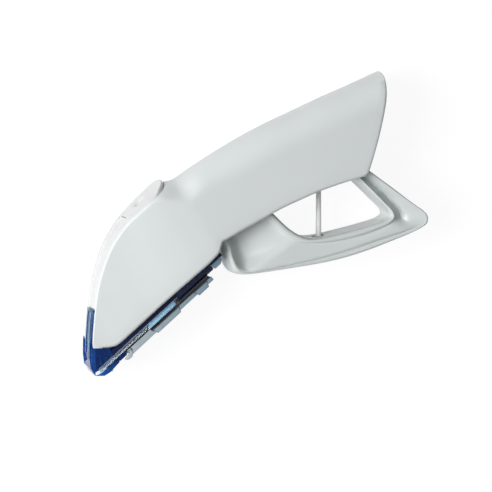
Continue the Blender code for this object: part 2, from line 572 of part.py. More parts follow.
rest_r = math.hypot(DRIVE_X, DRIVE_Y)
arm = [arm_point(-1, 4.7), arm_point(-1, -4.7), arm_point(14, -4.3), arm_point(rest_r - 4, -4.2),
       arm_point(37.2, -3.9), arm_point(38.2, -3.0), arm_point(38.2, 3.0), arm_point(37.2, 3.9),
       arm_point(rest_r - 4, 4.2), arm_point(14, 4.3)]
add(lever, prism("arm", arm, HALF_WIDTH - ARM_HALF, HALF_WIDTH + ARM_HALF))
SLOT = DRIVE_RADIUS + 0.5
slot = [arm_point(rest_r - 0.9, -SLOT), arm_point(40, -SLOT), arm_point(40, SLOT), arm_point(rest_r - 0.9, SLOT)]
slot += [arm_point(rest_r - 0.9 - SLOT * math.cos(math.radians(a)), SLOT * math.sin(math.radians(a)))
         for a in (50, 15, -15, -50)]
cut(lever, prism("slot", slot, HALF_WIDTH - 5, HALF_WIDTH + 5))
cut(lever, rod("bore", (0, 0, HALF_WIDTH - 10), (0, 0, HALF_WIDTH + 10),
               ((0, PIN_RADIUS + GAP), (1, PIN_RADIUS + GAP)), 24))
for side in (1, -1):
    cut(lever, rod("boss_room", (0, 0, HALF_WIDTH + side * HUB_HALF), (0, 0, HALF_WIDTH + side * (LEVER_HALF + 1.3)),
                   ((0, HUB_RADIUS + 0.1), (1, HUB_RADIUS + 0.1)), 28))
cut(lever, box("foot_slot", STRUT_X - 2.4, STRUT_X + 1.9, -7.7, 0, HALF_WIDTH - 2.4, HALF_WIDTH + 2.4))
piece(lever, "trigger_lever", WHITE, 0.4)
piece(rod("trigger_pin", (0, 0, HALF_WIDTH - 11.9), (0, 0, HALF_WIDTH + 11.9),
          ((0, 1.7), (0.015, PIN_RADIUS), (0.985, PIN_RADIUS), (1, 1.7)), 24), "trigger_pin", STEEL, 0.2, 1.0)

# Return plunger with its collar, and the spring round its stem
foot = [(-7.35, 1.15, 1.6), (-6.2, 1.2, 1.9), (-5.0, 0.85, 1.7), (-3.6, 0.65, 1.5), (10.0, 0.58, 1.35), (17.4, 0.9, 1.6)]


def strut_ring(y, hx, hz):
    c = 0.45
    return [(STRUT_X + a, y, HALF_WIDTH + b) for a, b in
            ((-hx, -hz * c), (-hx * c, -hz), (hx * c, -hz), (hx, -hz * c),
             (hx, hz * c), (hx * c, hz), (-hx * c, hz), (-hx, hz * c))]


plunger = loft("return_plunger", [strut_ring(*row) for row in foot])
add(plunger, rod("collar", (STRUT_X, 17.2, HALF_WIDTH), (STRUT_X, 18.6, HALF_WIDTH), ((0, 2.4), (0.2, 2.7), (1, 2.7)), 20))
add(plunger, rod("stem", (STRUT_X, 18.0, HALF_WIDTH), (STRUT_X, 27.5, HALF_WIDTH), ((0, 1.1), (0.94, 1.0), (1, 0.7)), 14))
piece(plunger, "return_plunger", WHITE, 0.4)
piece(coil("return_spring", (STRUT_X, 19.2, HALF_WIDTH), (STRUT_X, 35.4, HALF_WIDTH), 1.9, 0.6, 8, 10),
      "return_spring", STEEL, 0.25, 1.0)

# Dowels that hold the casings together
for tag, (x, y) in zip(("nose", "grip", "tail"), DOWELS):
    piece(rod("dowel", (x, y, HALF_WIDTH - 9.0), (x, y, HALF_WIDTH + 9.0),
              ((0, 1.2), (0.03, DOWEL_RADIUS), (0.97, DOWEL_RADIUS), (1, 1.2)), 14), "dowel_" + tag, STEEL, 0.3, 1.0)

# Joint origins and metres
ORIGINS = {"trigger_lever": (0, 0, HALF_WIDTH), "return_plunger": (STRUT_X, 0, HALF_WIDTH),
           "ram": (DRIVE_X, DRIVE_Y, HALF_WIDTH), "ram_carrier": (DRIVE_X, DRIVE_Y, HALF_WIDTH),
           "drive_pin": (DRIVE_X, DRIVE_Y, HALF_WIDTH), "follower": (last_x, last_y, HALF_WIDTH)}
for obj in PIECES:
    o = Vector(ORIGINS.get(obj.name, (0, 0, 0)))
    obj.data.transform(Matrix.Scale(MM, 4) @ Matrix.Translation(-o))
    obj.location = o * MM
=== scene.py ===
# Skin stapler lying on its right side: the finished look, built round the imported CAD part.
# Shapes are made in millimetres and become metres when a piece is dressed.
# X runs nose to tail, Y trigger to back, Z up.
import bpy
import bmesh
from math import acos, atan2, copysign, cos, dist, hypot, pi, radians, sin, sqrt, tan
from mathutils import Matrix, Vector


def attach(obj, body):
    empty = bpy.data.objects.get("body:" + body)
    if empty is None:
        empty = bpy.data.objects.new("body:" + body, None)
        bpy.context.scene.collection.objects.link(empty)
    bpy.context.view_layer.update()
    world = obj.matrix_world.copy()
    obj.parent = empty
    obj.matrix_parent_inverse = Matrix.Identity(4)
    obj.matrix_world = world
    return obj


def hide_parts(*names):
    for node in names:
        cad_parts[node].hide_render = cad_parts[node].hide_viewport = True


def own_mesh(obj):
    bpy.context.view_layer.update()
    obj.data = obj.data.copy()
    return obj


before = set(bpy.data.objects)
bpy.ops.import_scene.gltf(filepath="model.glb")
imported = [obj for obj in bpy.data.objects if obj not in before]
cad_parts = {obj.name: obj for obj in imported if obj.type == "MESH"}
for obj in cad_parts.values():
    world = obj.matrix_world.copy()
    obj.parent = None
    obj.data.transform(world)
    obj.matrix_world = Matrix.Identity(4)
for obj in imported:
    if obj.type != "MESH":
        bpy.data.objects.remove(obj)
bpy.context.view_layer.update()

scene = bpy.context.scene
mm = 0.001
midPlane = 14.0          # height of the seam between the two casings
slopeAngle = radians(41.6)
ax, ay = cos(slopeAngle), sin(slopeAngle)     # way up the magazine
magStart = (-35.4, -41.5)


# shape tools

def newObject(name, data):
    thing = bpy.data.objects.new(name, data)
    scene.collection.objects.link(thing)
    return thing


def toObject(name, shape):
    bmesh.ops.remove_doubles(shape, verts=shape.verts, dist=0.002)
    bmesh.ops.recalc_face_normals(shape, faces=shape.faces)
    mesh = bpy.data.meshes.new(name)
    shape.to_mesh(mesh)
    shape.free()
    return newObject(name, mesh)


def loftRings(name, rings, ladder=False):
    shape = bmesh.new()
    rows = [[shape.verts.new(p) for p in ring] for ring in rings]
    count = len(rows[0])
    for low, high in zip(rows, rows[1:]):
        for i in range(count):
            j = (i + 1) % count
            shape.faces.new((low[i], low[j], high[j], high[i]))
    for row in (rows[0][::-1], rows[-1]):
        if ladder:
            # the ring runs out and back, so its end is closed with rungs
            for i in range(count // 2 - 1):
                shape.faces.new((row[i], row[i + 1], row[-2 - i], row[-1 - i]))
        else:
            shape.faces.new(row)
    return toObject(name, shape)


def smoothRow(rows, t):
    # a smooth curve through the rows of a table, read at row t
    i = min(max(int(t), 0), len(rows) - 2)
    f = t - i
    p1, p2 = rows[i], rows[i + 1]
    p0 = rows[i - 1] if i > 0 else [2 * a - b for a, b in zip(p1, p2)]
    p3 = rows[i + 2] if i + 2 < len(rows) else [2 * b - a for a, b in zip(p1, p2)]
    return [0.5 * (2 * b + (c - a) * f + (2 * a - 5 * b + 4 * c - d) * f * f + (3 * b - a - 3 * c + d) * f ** 3)
            for a, b, c, d in zip(p0, p1, p2, p3)]


def ease(x):
    x = min(max(x, 0.0), 1.0)
    return x * x * (3 - 2 * x)


def roundCorners(points, radius, steps=4):
    # a flat outline with each corner turned into a short curve
    out = []
    count = len(points)
    for i in range(count):
        before, here, after = Vector(points[i - 1]), Vector(points[i]), Vector(points[(i + 1) % count])
        a, b = before - here, after - here
        half = a.angle(b) / 2
        reach = min(radius / max(tan(half), 0.05), a.length * 0.46, b.length * 0.46)
        if reach < 0.02 or half > 1.52:
            out.append(tuple(here))
            continue
        start, end = here + a.normalized() * reach, here + b.normalized() * reach
        for k in range(steps + 1):
            f = k / steps
            out.append(tuple(start * (1 - f) ** 2 + here * 2 * f * (1 - f) + end * f * f))
    return out


def insetOutline(points, depth):
    area = sum(points[i - 1][0] * points[i][1] - points[i][0] * points[i - 1][1] for i in range(len(points)))
    turn = 1 if area > 0 else -1
    out = []
    for i in range(len(points)):
        a, b, c = Vector(points[i - 1]), Vector(points[i]), Vector(points[(i + 1) % len(points)])
        before, after = (b - a).normalized(), (c - b).normalized()
        inward = Vector((-before.y - after.y, before.x + after.x)) * turn
        if inward.length < 0.001:
            inward = Vector((-before.y, before.x)) * turn
        inward.normalize()
        lean = max(inward.dot(Vector((-before.y, before.x)) * turn), 0.5)
        out.append(tuple(b + inward * depth / lean))
    return out


def softPrism(name, outline, low, high, corner=0.3, edge=0.15, steps=4):
    # a plate with rounded corners and edges, low and high from the mid-plane
    flat = roundCorners(outline, corner, steps) if corner else outline
    rings = []
    for end, way in ((low, 1), (high, -1)):
        part = []
        for a in map(radians, (0, 30, 60, 90)):
            ring = insetOutline(flat, edge * (1 - sin(a)))
            part.append([(x, y, midPlane + end + way * edge * (1 - cos(a))) for x, y in ring])
        rings += part if way == 1 else part[::-1]
    return loftRings(name, rings)


def cutter(outline, low, high):
    # plain block for openings, from the mid-plane too
    return loftRings("cutter", [[(x, y, midPlane + z) for x, y in outline] for z in (low, high)])


def slopePoint(s, d):
    # s runs up the magazine from the nose, d outwards from the casing's lower edge
    return (magStart[0] + ax * s + ay * d, magStart[1] + ay * s - ax * d)


def slopeCutter(outline, half, z=0.0):
    return cutter([slopePoint(s, d) for s, d in outline], z - half, z + half)


def slopePrism(name, outline, half, corner=0.3, edge=0.15, z=0.0):
    return softPrism(name, [slopePoint(s, d) for s, d in outline], z - half, z + half, corner, edge)


def turned(name, start, end, profile, sides=40):
    # a round piece: profile is a list of (distance along it, radius)
    start, end = Vector(start), Vector(end)
    along = (end - start).normalized()
    side = along.cross(Vector((0, 0, 1)))
    if side.length < 0.001:
        side = Vector((1, 0, 0))
    side.normalize()
    up = along.cross(side)
    rings = []
    for far, radius in profile:
        centre = start + along * far
        rings.append([tuple(centre + side * radius * cos(a) + up * radius * sin(a))
                      for a in (2 * pi * i / sides for i in range(sides))])
    return loftRings(name, rings)


def softRod(name, start, end, radius, edge=0.15, sides=40):
    length = (Vector(end) - Vector(start)).length
    return turned(name, start, end, [(0, radius - edge), (edge * 0.3, radius - edge * 0.3), (edge, radius),
                                     (length - edge, radius), (length - edge * 0.3, radius - edge * 0.3),
                                     (length, radius - edge)], sides)


def bore(start, end, radius, sides):
    return turned("bore", start, end, [(0, radius), (dist(start, end), radius)], sides)


def splitBent(thing):
    # faces that aren't flat are split into triangles before a cut
    shape = bmesh.new()
    shape.from_mesh(thing.data)
    bmesh.ops.remove_doubles(shape, verts=shape.verts, dist=0.0005)
    bmesh.ops.dissolve_degenerate(shape, edges=shape.edges, dist=0.0005)
    bmesh.ops.connect_verts_nonplanar(shape, angle_limit=0.00001, faces=shape.faces)
    shape.to_mesh(thing.data)
    shape.free()


def combine(thing, other, how):
    splitBent(thing)
    splitBent(other)
    step = thing.modifiers.new(how, "BOOLEAN")
    step.operation = how
    step.solver = "MANIFOLD"
    step.object = other
    bpy.context.view_layer.update()
    mesh = bpy.data.meshes.new_from_object(thing.evaluated_get(bpy.context.evaluated_depsgraph_get()))
    thing.modifiers.clear()
    thing.data = mesh
    bpy.data.objects.remove(other, do_unlink=True)


def cut(thing, other):
    combine(thing, other, "DIFFERENCE")


def add(thing, other):
    combine(thing, other, "UNION")


def joinInto(thing, parts):
    shape = bmesh.new()
    shape.from_mesh(thing.data)
    for part in parts:
        shape.from_mesh(part.data)
        bpy.data.objects.remove(part, do_unlink=True)
    shape.to_mesh(thing.data)
    shape.free()


def dress(thing, name, materials, node, angle=34, body="housing"):
    # last step of each piece; node is the CAD piece that it stands for
    thing.name = name
    thing.data.name = name
    thing.data.transform(Matrix.Scale(mm, 4))
    thing.data.materials.clear()
    for material in materials:
        thing.data.materials.append(material)
    thing.data.shade_smooth()
    thing.data.set_sharp_from_angle(angle=radians(angle))
    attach(thing, body)
    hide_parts(node)


# surface effects shared by the materials

def newGroup(name, inputs, outputs):
    group = bpy.data.node_groups.new(name, "ShaderNodeTree")
    for label, value in inputs:
        socket = group.interface.new_socket(name=label, in_out="INPUT", socket_type="NodeSocketFloat")
        socket.default_value = value
    for label in outputs:
        group.interface.new_socket(name=label, in_out="OUTPUT", socket_type="NodeSocketFloat")
    return group, group.nodes.new("NodeGroupInput"), group.nodes.new("NodeGroupOutput")


def fill(tree, node, values):
    # a number or a colour is set on the socket, anything else is linked to it
    for label, value in values.items():
        if isinstance(value, (int, float)):
            node.inputs[label].default_value = value
        elif isinstance(value, tuple):
            node.inputs[label].default_value = (*value, 1.0)
        else:
            tree.links.new(value, node.inputs[label])


def mapped(tree, source, low, high, to0=0.0, to1=1.0):
    node = tree.nodes.new("ShaderNodeMapRange")
    fill(tree, node, {"Value": source, "From Min": low, "From Max": high, "To Min": to0, "To Max": to1})
    return node.outputs["Result"]


def maths(tree, how, a, b):
    node = tree.nodes.new("ShaderNodeMath")
    node.operation = how
    fill(tree, node, {0: a, 1: b})
    return node.outputs[0]


def times(tree, a, b):
    return maths(tree, "MULTIPLY", a, b)


def noise(tree, vector, scale, detail, rough):
    node = tree.nodes.new("ShaderNodeTexNoise")
    fill(tree, node, {"Vector": vector, "Scale": scale, "Detail": detail, "Roughness": rough})
    return node.outputs["Fac"]


def coordinates(tree, kind="Object"):
    return tree.nodes.new("ShaderNodeTexCoord").outputs[kind]


def alongX(tree, kind):
    node = tree.nodes.new("ShaderNodeSeparateXYZ")
    tree.links.new(coordinates(tree, kind), node.inputs["Vector"])
    return node.outputs["X"]


def seenDirectly(tree):
    # 1 from the camera, through clear plastic or off a gloss, 0 for rays that bring soft light
    path = tree.nodes.new("ShaderNodeLightPath").outputs
    straight = maths(tree, "MAXIMUM", path["Is Camera Ray"], path["Is Transmission Ray"])
    return maths(tree, "MAXIMUM", straight, path["Is Glossy Ray"])


def makeMouldedSurface():
    # plastic from a steel mould: spark-eroded grain, soft flow blotches, scuffed high edges
    group, start, end = newGroup("moulded surface", (("Grain Scale", 4200.0), ("Blotch Scale", 45.0)),
                                 ("Grain", "Blotch", "Wear"))
    place = coordinates(group)
    point = group.nodes.new("ShaderNodeNewGeometry").outputs["Pointiness"]
    rise = mapped(group, point, 0.53, 0.62)
    broken = mapped(group, noise(group, place, 900.0, 4.0, 0.7), 0.42, 0.6)
    blotch = mapped(group, noise(group, place, start.outputs["Blotch Scale"], 4.0, 0.5), 0.32, 0.68)
    fill(group, end, {"Grain": noise(group, place, start.outputs["Grain Scale"], 3.0, 0.6), "Blotch": blotch,
                      "Wear": times(group, rise, broken)})
    return group


def makeBrushedSurface():
    # long fine lines left by rolling and brushing, over broad patches of tone
    group, start, end = newGroup("brushed surface", (("Turn", 0.0), ("Line Scale", 2600.0), ("Stretch", 0.02)),
                                 ("Lines", "Tone"))
    place = coordinates(group)
    turn = group.nodes.new("ShaderNodeCombineXYZ")
    fill(group, turn, {"Z": start.outputs["Turn"]})
    spin = group.nodes.new("ShaderNodeMapping")
    fill(group, spin, {"Vector": place, "Rotation": turn.outputs["Vector"]})
    pull = group.nodes.new("ShaderNodeCombineXYZ")
    fill(group, pull, {"X": start.outputs["Stretch"], "Y": 1.0, "Z": 1.0})
    squeeze = group.nodes.new("ShaderNodeVectorMath")
    squeeze.operation = "MULTIPLY"
    fill(group, squeeze, {0: spin.outputs["Vector"], 1: pull.outputs["Vector"]})
    fill(group, end, {"Lines": noise(group, squeeze.outputs["Vector"], start.outputs["Line Scale"], 4.0, 0.65),
                      "Tone": mapped(group, noise(group, place, 120.0, 3.0, 0.5), 0.35, 0.65)})
    return group


mouldedSurface = makeMouldedSurface()
brushedSurface = makeBrushedSurface()


def newMaterial(name):
    material = bpy.data.materials.new(name)
    material.use_nodes = True
    return material, material.node_tree, material.node_tree.nodes["Principled BSDF"]


def placeGroup(tree, group, values):
    node = tree.nodes.new("ShaderNodeGroup")
    node.node_tree = group
    fill(tree, node, values)
    return node.outputs


def mixColour(tree, factor, first, second):
    node = tree.nodes.new("ShaderNodeMix")
    node.data_type = "RGBA"
    fill(tree, node, {0: factor, 6: first, 7: second})
    return node.outputs[2]


def bumpFrom(tree, shader, height, strength, depth):
    node = tree.nodes.new("ShaderNodeBump")
    fill(tree, node, {"Strength": strength, "Distance": depth, "Height": height})
    tree.links.new(node.outputs["Normal"], shader.inputs["Normal"])


def tinted(tree, effect, look):
    toned = mixColour(tree, times(tree, effect["Blotch"], look.get("blotch", 1.0)), look["colour"], look["shade"])
    return mixColour(tree, times(tree, effect["Wear"], look["wear"]), toned, look["worn"])


def mouldedPlastic(name, base, **changes):
    look = {**base, **changes}
    material, tree, shader = newMaterial(name)
    effect = placeGroup(tree, mouldedSurface, {"Grain Scale": look["grainScale"], "Blotch Scale": look["blotchScale"]})
    rough = mapped(tree, effect["Blotch"], 0, 1, look["rough"] - 0.03, look["rough"] + 0.04)
    fill(tree, shader, {"Base Color": tinted(tree, effect, look), "Roughness": rough,
                        "Specular IOR Level": look.get("gloss", 0.5)})
    bumpFrom(tree, shader, effect["Grain"], look["grain"], 0.00002)
    return material


def clearPlastic(name, base, **changes):
    # tinted polycarbonate, which still shades what is behind it
    look = {**base, **changes}
    material, tree, shader = newMaterial(name)
    effect = placeGroup(tree, mouldedSurface, {"Grain Scale": 1500.0, "Blotch Scale": look["blotchScale"]})
    shadowRay = tree.nodes.new("ShaderNodeLightPath").outputs["Is Shadow Ray"]
    fill(tree, shader, {
        "Base Color": tinted(tree, effect, look),
        "Roughness": mapped(tree, effect["Blotch"], 0, 1, look["rough"], look["rough"] + 0.05),
        "Transmission Weight": look["clear"], "IOR": look["bend"], "Specular IOR Level": look["gloss"],
        "Alpha": mapped(tree, shadowRay, 0, 1, 1.0, look["shadow"])})
    bumpFrom(tree, shader, effect["Blotch"], look["ripple"], 0.0001)
    return material


def brushedMetal(name, **changes):
    look = {**steelLook, **changes}
    material, tree, shader = newMaterial(name)
    effect = placeGroup(tree, brushedSurface, {"Turn": look["turn"], "Line Scale": look["lineScale"],
                                               "Stretch": look["stretch"]})
    toned = mixColour(tree, times(tree, effect["Tone"], 0.6), look["colour"], look["shade"])
    if "far" in look:
        # the sheet darkens evenly from the nose back
        toned = mixColour(tree, mapped(tree, alongX(tree, "Object"), -0.034, -0.008), toned, look["far"])
    fill(tree, shader, {
        "Base Color": mixColour(tree, times(tree, effect["Lines"], 0.35), toned, look["shade"]),
        "Roughness": mapped(tree, effect["Lines"], 0.3, 0.7, look["rough"] - 0.06, look["rough"] + 0.08),
        "Metallic": look["metal"]})
    bumpFrom(tree, shader, effect["Lines"], look["relief"], 0.00001)
    return material


whiteLook = dict(
    colour=(0.70, 0.735, 0.73), shade=(0.665, 0.70, 0.70), worn=(0.80, 0.82, 0.82), blotch=0.45, wear=0.5, rough=0.38,
    grain=0.25, grainScale=4200.0, blotchScale=42.0)
shellWhite = mouldedPlastic("satinWhiteShell", whiteLook)
# painted shade: the cover is a darker copy of the shell's white, dimmed because the key light falls full on it
coverWhitePaintedShade = mouldedPlastic(
    "satinWhiteCoverPaintedShade", whiteLook, colour=(0.66, 0.67, 0.67), shade=(0.64, 0.65, 0.65), rough=0.33, blotchScale=60.0,
    grain=0.1)
leverWhite = mouldedPlastic(
    "satinWhiteLever", whiteLook, colour=(0.66, 0.70, 0.69), shade=(0.62, 0.66, 0.655), rough=0.34, blotchScale=55.0)
strutWhite = mouldedPlastic(
    "acetalWhiteStrut", whiteLook, colour=(0.78, 0.79, 0.79), shade=(0.74, 0.75, 0.75), rough=0.42, grainScale=3000.0)
carrierGrey = mouldedPlastic(
    "acetalGreyCarrier", whiteLook, colour=(0.58, 0.61, 0.63), shade=(0.52, 0.55, 0.57), worn=(0.66, 0.68, 0.70),
    rough=0.45)
blueLook = dict(
    colour=(0.33, 0.50, 0.64), shade=(0.27, 0.43, 0.57), worn=(0.62, 0.74, 0.82), blotch=0.6, wear=0.7, rough=0.28,
    grain=0.2, grainScale=3600.0, blotchScale=150.0)
paleBlue = mouldedPlastic("acetalPaleBlue", blueLook)
followerBlue = mouldedPlastic(
    "acetalFollowerBlue", blueLook, colour=(0.27, 0.44, 0.56), shade=(0.23, 0.39, 0.50), worn=(0.68, 0.82, 0.88),
    rough=0.35, gloss=0.3)
darkLook = dict(
    colour=(0.006, 0.010, 0.045), shade=(0.010, 0.016, 0.07), worn=(0.10, 0.13, 0.22), blotch=0.8, wear=0.3,
    rough=0.16, grain=0.04, grainScale=2500.0, blotchScale=200.0, gloss=0.2)
darkSleeve = mouldedPlastic("glossNavySleeve", darkLook)
navyRoof = mouldedPlastic(
    "deepNavyRoof", darkLook, colour=(0.004, 0.008, 0.040), shade=(0.006, 0.014, 0.065), worn=(0.06, 0.12, 0.30),
    wear=0.5, rough=0.12, blotchScale=220.0, gloss=0.1)
# painted highlight: a pale blue for the rib crests, standing for a streak of light
ribCrestHighlightPainted = mouldedPlastic(
    "paintedRibCrestHighlight", darkLook, colour=(0.34, 0.48, 0.58), shade=(0.26, 0.40, 0.50), worn=(0.6, 0.7, 0.78),
    blotch=0.7, wear=0.4, rough=0.25, grain=0.1, blotchScale=300.0, gloss=0.3)
# painted highlight: a pale line along the top of the clear window, standing for the light caught by its edge
windowEdgeHighlightPainted = mouldedPlastic(
    "paintedWindowEdgeHighlight", darkLook, colour=(0.36, 0.40, 0.46), shade=(0.24, 0.27, 0.34), worn=(0.5, 0.55, 0.6), rough=0.4,
    grain=0.3, grainScale=2000.0, blotchScale=300.0, gloss=0.3)
noseLook = dict(
    colour=(0.012, 0.115, 0.44), shade=(0.006, 0.045, 0.20), worn=(0.05, 0.22, 0.45), wear=0.12, rough=0.03,
    clear=0.75, blotchScale=260.0, shadow=0.45, bend=1.2, gloss=0.1, ripple=0.05)
clearBlue = clearPlastic("clearBlueNose", noseLook)
# painted light: a lighter, less clear copy of the nose blue for the front faces and the pocket rims, standing for
# highlight and glints
clearFrontPaintedLight = clearPlastic(
    "clearBlueFrontPaintedLight", noseLook, colour=(0.022, 0.12, 0.26), shade=(0.014, 0.08, 0.19), worn=(0.20, 0.45, 0.65),
    wear=0.2, clear=0.4, bend=1.15)
clearWall = clearPlastic(
    "clearWindowWall", noseLook, colour=(0.88, 0.93, 0.97), shade=(0.82, 0.88, 0.94), worn=(0.9, 0.94, 0.97), wear=0.3,
    rough=0.0, clear=1.0, blotchScale=180.0, shadow=0.05, bend=1.12, gloss=0.2, ripple=0.01)
steelLook = dict(
    colour=(0.37, 0.42, 0.45), shade=(0.30, 0.345, 0.375), rough=0.32, lineScale=2600.0, stretch=0.03, relief=0.35,
    turn=-slopeAngle, metal=1.0)
plateSteel = brushedMetal("rolledSteelPlate", colour=(0.46, 0.50, 0.53), far=(0.15, 0.22, 0.27), metal=0.75)
railSteel = brushedMetal("bluedSteelRail", colour=(0.03, 0.035, 0.06), shade=(0.02, 0.025, 0.045), rough=0.4)
# painted shade: near-black steel for the plate's inside and the edges of its tabs
insidePaintedShade = brushedMetal(
    "shadedSteelInside", colour=(0.012, 0.014, 0.03), shade=(0.008, 0.010, 0.02), rough=0.5, metal=0.5)
bladeSteel = brushedMetal("stampedSteelBlade", colour=(0.60, 0.63, 0.66), turn=pi / 2, rough=0.28)
pinSteel = brushedMetal("groundSteelPin", colour=(0.66, 0.68, 0.70), stretch=0.4, rough=0.2, turn=0.0)
wireSteel = brushedMetal(
    "drawnStapleWire", colour=(0.30, 0.315, 0.33), shade=(0.22, 0.235, 0.25), rough=0.3, lineScale=6000.0, turn=0.0,
    metal=0.35)
springSteel = brushedMetal(
    "springWire", colour=(0.50, 0.52, 0.55), shade=(0.36, 0.38, 0.41), rough=0.3, lineScale=5000.0, turn=0.0)


# casings

# seam is half of the gap between the two halves, rim the wall left beside the spine cover, leafStart
# the section where the cover's leaf begins, cornerRow the one where the lower edge turns sharply
casing = {"seam": 0.12, "lowerRound": 1.4, "rim": 0.7, "rimRound": 0.2, "pocketDepth": 1.9, "leafStart": 9.9,
          "leafEnd": 11.35, "leafPower": 0.58, "pinRadius": 2.3, "cornerRow": 8}
# sections from tail to nose: back edge, lower edge, half width, depth of the rounded back,
# squareness of its curve, outward bow, wall
casingSections = [
    (61.6, 51.3, 54.3, 19.6, 13.3, 10.5, 2.3, 1.0, 1.7), (61.0, 53.8, 52.2, 16.7, 14.0, 12.0, 2.3, 1.1, 1.7),
    (49.6, 48.8, 44.0, 14.3, 14.0, 12.5, 2.3, 0.4, 1.7), (39.4, 44.5, 36.5, 11.8, 14.0, 12.5, 2.3, 0.0, 1.7),
    (29.2, 39.9, 29.5, 8.9, 14.0, 12.0, 2.3, 0.0, 1.7), (19.0, 35.3, 22.5, 5.8, 14.0, 11.5, 2.3, 0.0, 1.7),
    (8.6, 29.9, 15.5, 2.1, 14.0, 11.0, 2.3, 0.0, 1.7), (-1.7, 23.8, 9.0, -1.3, 14.0, 10.0, 2.4, 0.0, 1.7),
    (-8.2, 19.6, 1.0, -5.8, 14.0, 8.5, 2.5, 0.0, 1.7), (-14.2, 15.8, 0.1, -9.2, 14.0, 8.6, 2.15, 0.0, 1.7),
    (-18.6, 14.7, -3.0, -12.7, 13.75, 7.6, 2.2, 0.0, 1.6), (-24.0, 10.9, -7.6, -16.8, 13.25, 3.4, 3.6, 0.0, 1.5),
    (-29.3, 5.8, -13.5, -22.0, 12.25, 2.6, 4.2, 0.0, 1.4), (-33.4, 1.2, -18.5, -26.5, 11.2, 2.0, 4.8, 0.0, 1.3),
    (-37.5, -5.0, -23.2, -30.9, 10.2, 1.8, 5.0, 0.0, 1.3), (-40.4, -11.5, -27.6, -35.0, 9.5, 1.7, 5.0, 0.0, 1.2),
    (-42.3, -18.0, -31.2, -38.35, 8.9, 1.6, 5.0, 0.0, 1.2), (-43.5, -24.0, -33.65, -40.65, 8.5, 1.5, 5.0, 0.0, 1.1),
    (-44.2, -30.0, -35.9, -42.3, 8.1, 1.5, 5.0, 0.0, 1.1), (-44.7, -36.0, -38.6, -42.95, 7.8, 1.4, 5.0, 0.0, 1.1),
    (-45.0, -41.2, -41.6, -43.05, 7.6, 1.2, 5.0, 0.0, 1.1),
]
noseSection = len(casingSections) - 1


def sectionAt(u):
    if u >= 1:
        row = smoothRow(casingSections[1:], u - 1)
        if abs(u - casing["cornerRow"]) < 1:
            i = int(u)
            row[2:4] = [a + (b - a) * (u - i) for a, b in zip(casingSections[i][2:4], casingSections[i + 1][2:4])]
        return row[:4] + [min(row[4], midPlane)] + row[5:]
    # the tail's end turns over in a quarter curve
    a = radians(90 * (1 - u))
    out, over = sin(a), 1 - cos(a)
    first, last = casingSections[1], casingSections[0]
    blend = (out, over, out, over, over, over, over, over, over)
    return [p + (q - p) * f for p, q, f in zip(first, last, blend)]


def outwards(u):
    # away from the casing, at right angles to its back
    a, b = sectionAt(max(u - 0.3, 1)), sectionAt(min(u + 0.3, noseSection))
    length = hypot(b[0] - a[0], b[1] - a[1])
    return (b[1] - a[1]) / length, (a[0] - b[0]) / length


def sectionFrame(u):
    tx, ty, bx, by, w, rt, sq, bow, _ = sectionAt(u)
    h = hypot(tx - bx, ty - by)
    dx, dy = (tx - bx) / h, (ty - by) / h
    n = outwards(u)
    return bx, by, dx, dy, h, w, rt, sq, bow, max(abs(n[0] * dx + n[1] * dy), 0.4)


def leafShare(u):
    # 1 at the tip of the spine cover's leaf, 0 where it has its full width
    return min(max((casing["leafEnd"] - u) / (casing["leafEnd"] - casing["leafStart"]), 0), 1)


def leafHalf(u):
    # half width of the spine cover at section u
    return (sectionAt(u)[4] - casing["rim"]) * (1 - leafShare(u) ** 2) ** casing["leafPower"]


def casingRing(u, wall=0.0):
    bx, by, dx, dy, h, w, rt, sq, bow, steep = sectionFrame(u)
    low, high, edge, seam = 0.0, h, casing["lowerRound"], casing["seam"]
    if wall:
        low, high, edge, seam = wall / max(steep, 0.6), h - wall / steep, 0.5, -1.0
    w -= wall
    rt = max(rt - wall, 0.4)
    side = high - rt
    pocket = leafHalf(min(u + 0.03, noseSection)) + 0.12 if u > casing["leafStart"] - 0.03 and not wall else 0.0
    half, depth, lip = 0.6, 0.06, 0.05
    if pocket > 0.7:
        half, depth, lip = pocket, casing["pocketDepth"] / steep, casing["rimRound"]
    pts = [(low, seam + (w - edge - seam) * f) for f in (0, 0.35, 0.7)]
    pts += [(low + edge * (1 - cos(a)), w - edge + edge * sin(a)) for a in map(radians, (0, 18, 36, 54, 72, 90))]
    pts += [(low + edge + (side - low - edge) * f, w) for f in (0.2, 0.4, 0.6, 0.8, 0.92)]
    stop = acos(min(((half + lip) / w) ** (sq / 2), 1.0))
    for i in range(15):
        a = stop * i / 14
        pts.append((side + rt * sin(a) ** (2 / sq), w * cos(a) ** (2 / sq)))
    top = pts[-1][0]
    pts += [(top - lip * (1 - cos(a)), half + lip - lip * sin(a)) for a in map(radians, (35, 65, 90))]
    floor = high - depth - (high - top) * 0.5
    pts += [(floor, half), (floor, half * 0.6), (floor, seam)]
    # and back down along the seam
    pts += [(floor + (low - floor) * (i + 1) / (len(pts) + 1), seam) for i in range(len(pts))]
    ring = []
    for v, z in pts:
        f = min(max(v / h, 0), 1)
        out = bow * 4 * f * (1 - f)
        ring.append((bx + dx * v + dy * out, by + dy * v - dx * out, midPlane + z))
    return ring


def halfCasing():
    stops = [1 - i / 6 for i in range(6, 0, -1)] + [1 + i / 5 for i in range(44)]
    stops += [9.66 + i * 0.06 for i in range(29)] + [11.4 + i * 0.2 for i in range(44)]
    stops = sorted(set(round(min(u, noseSection), 3) for u in stops))
    return loftRings("leftCasing", [casingRing(u) for u in stops], ladder=True)


def cavity():
    stops = [1.06] + [1.5 + i * 0.5 for i in range(37)]
    stops = [u for u in stops if u < noseSection - 0.5] + [noseSection - 0.4]
    return loftRings("cavity", [casingRing(u, sectionAt(u)[8]) for u in stops], ladder=True)


left = halfCasing()
cut(left, cavity())
slotHalf = 9.3
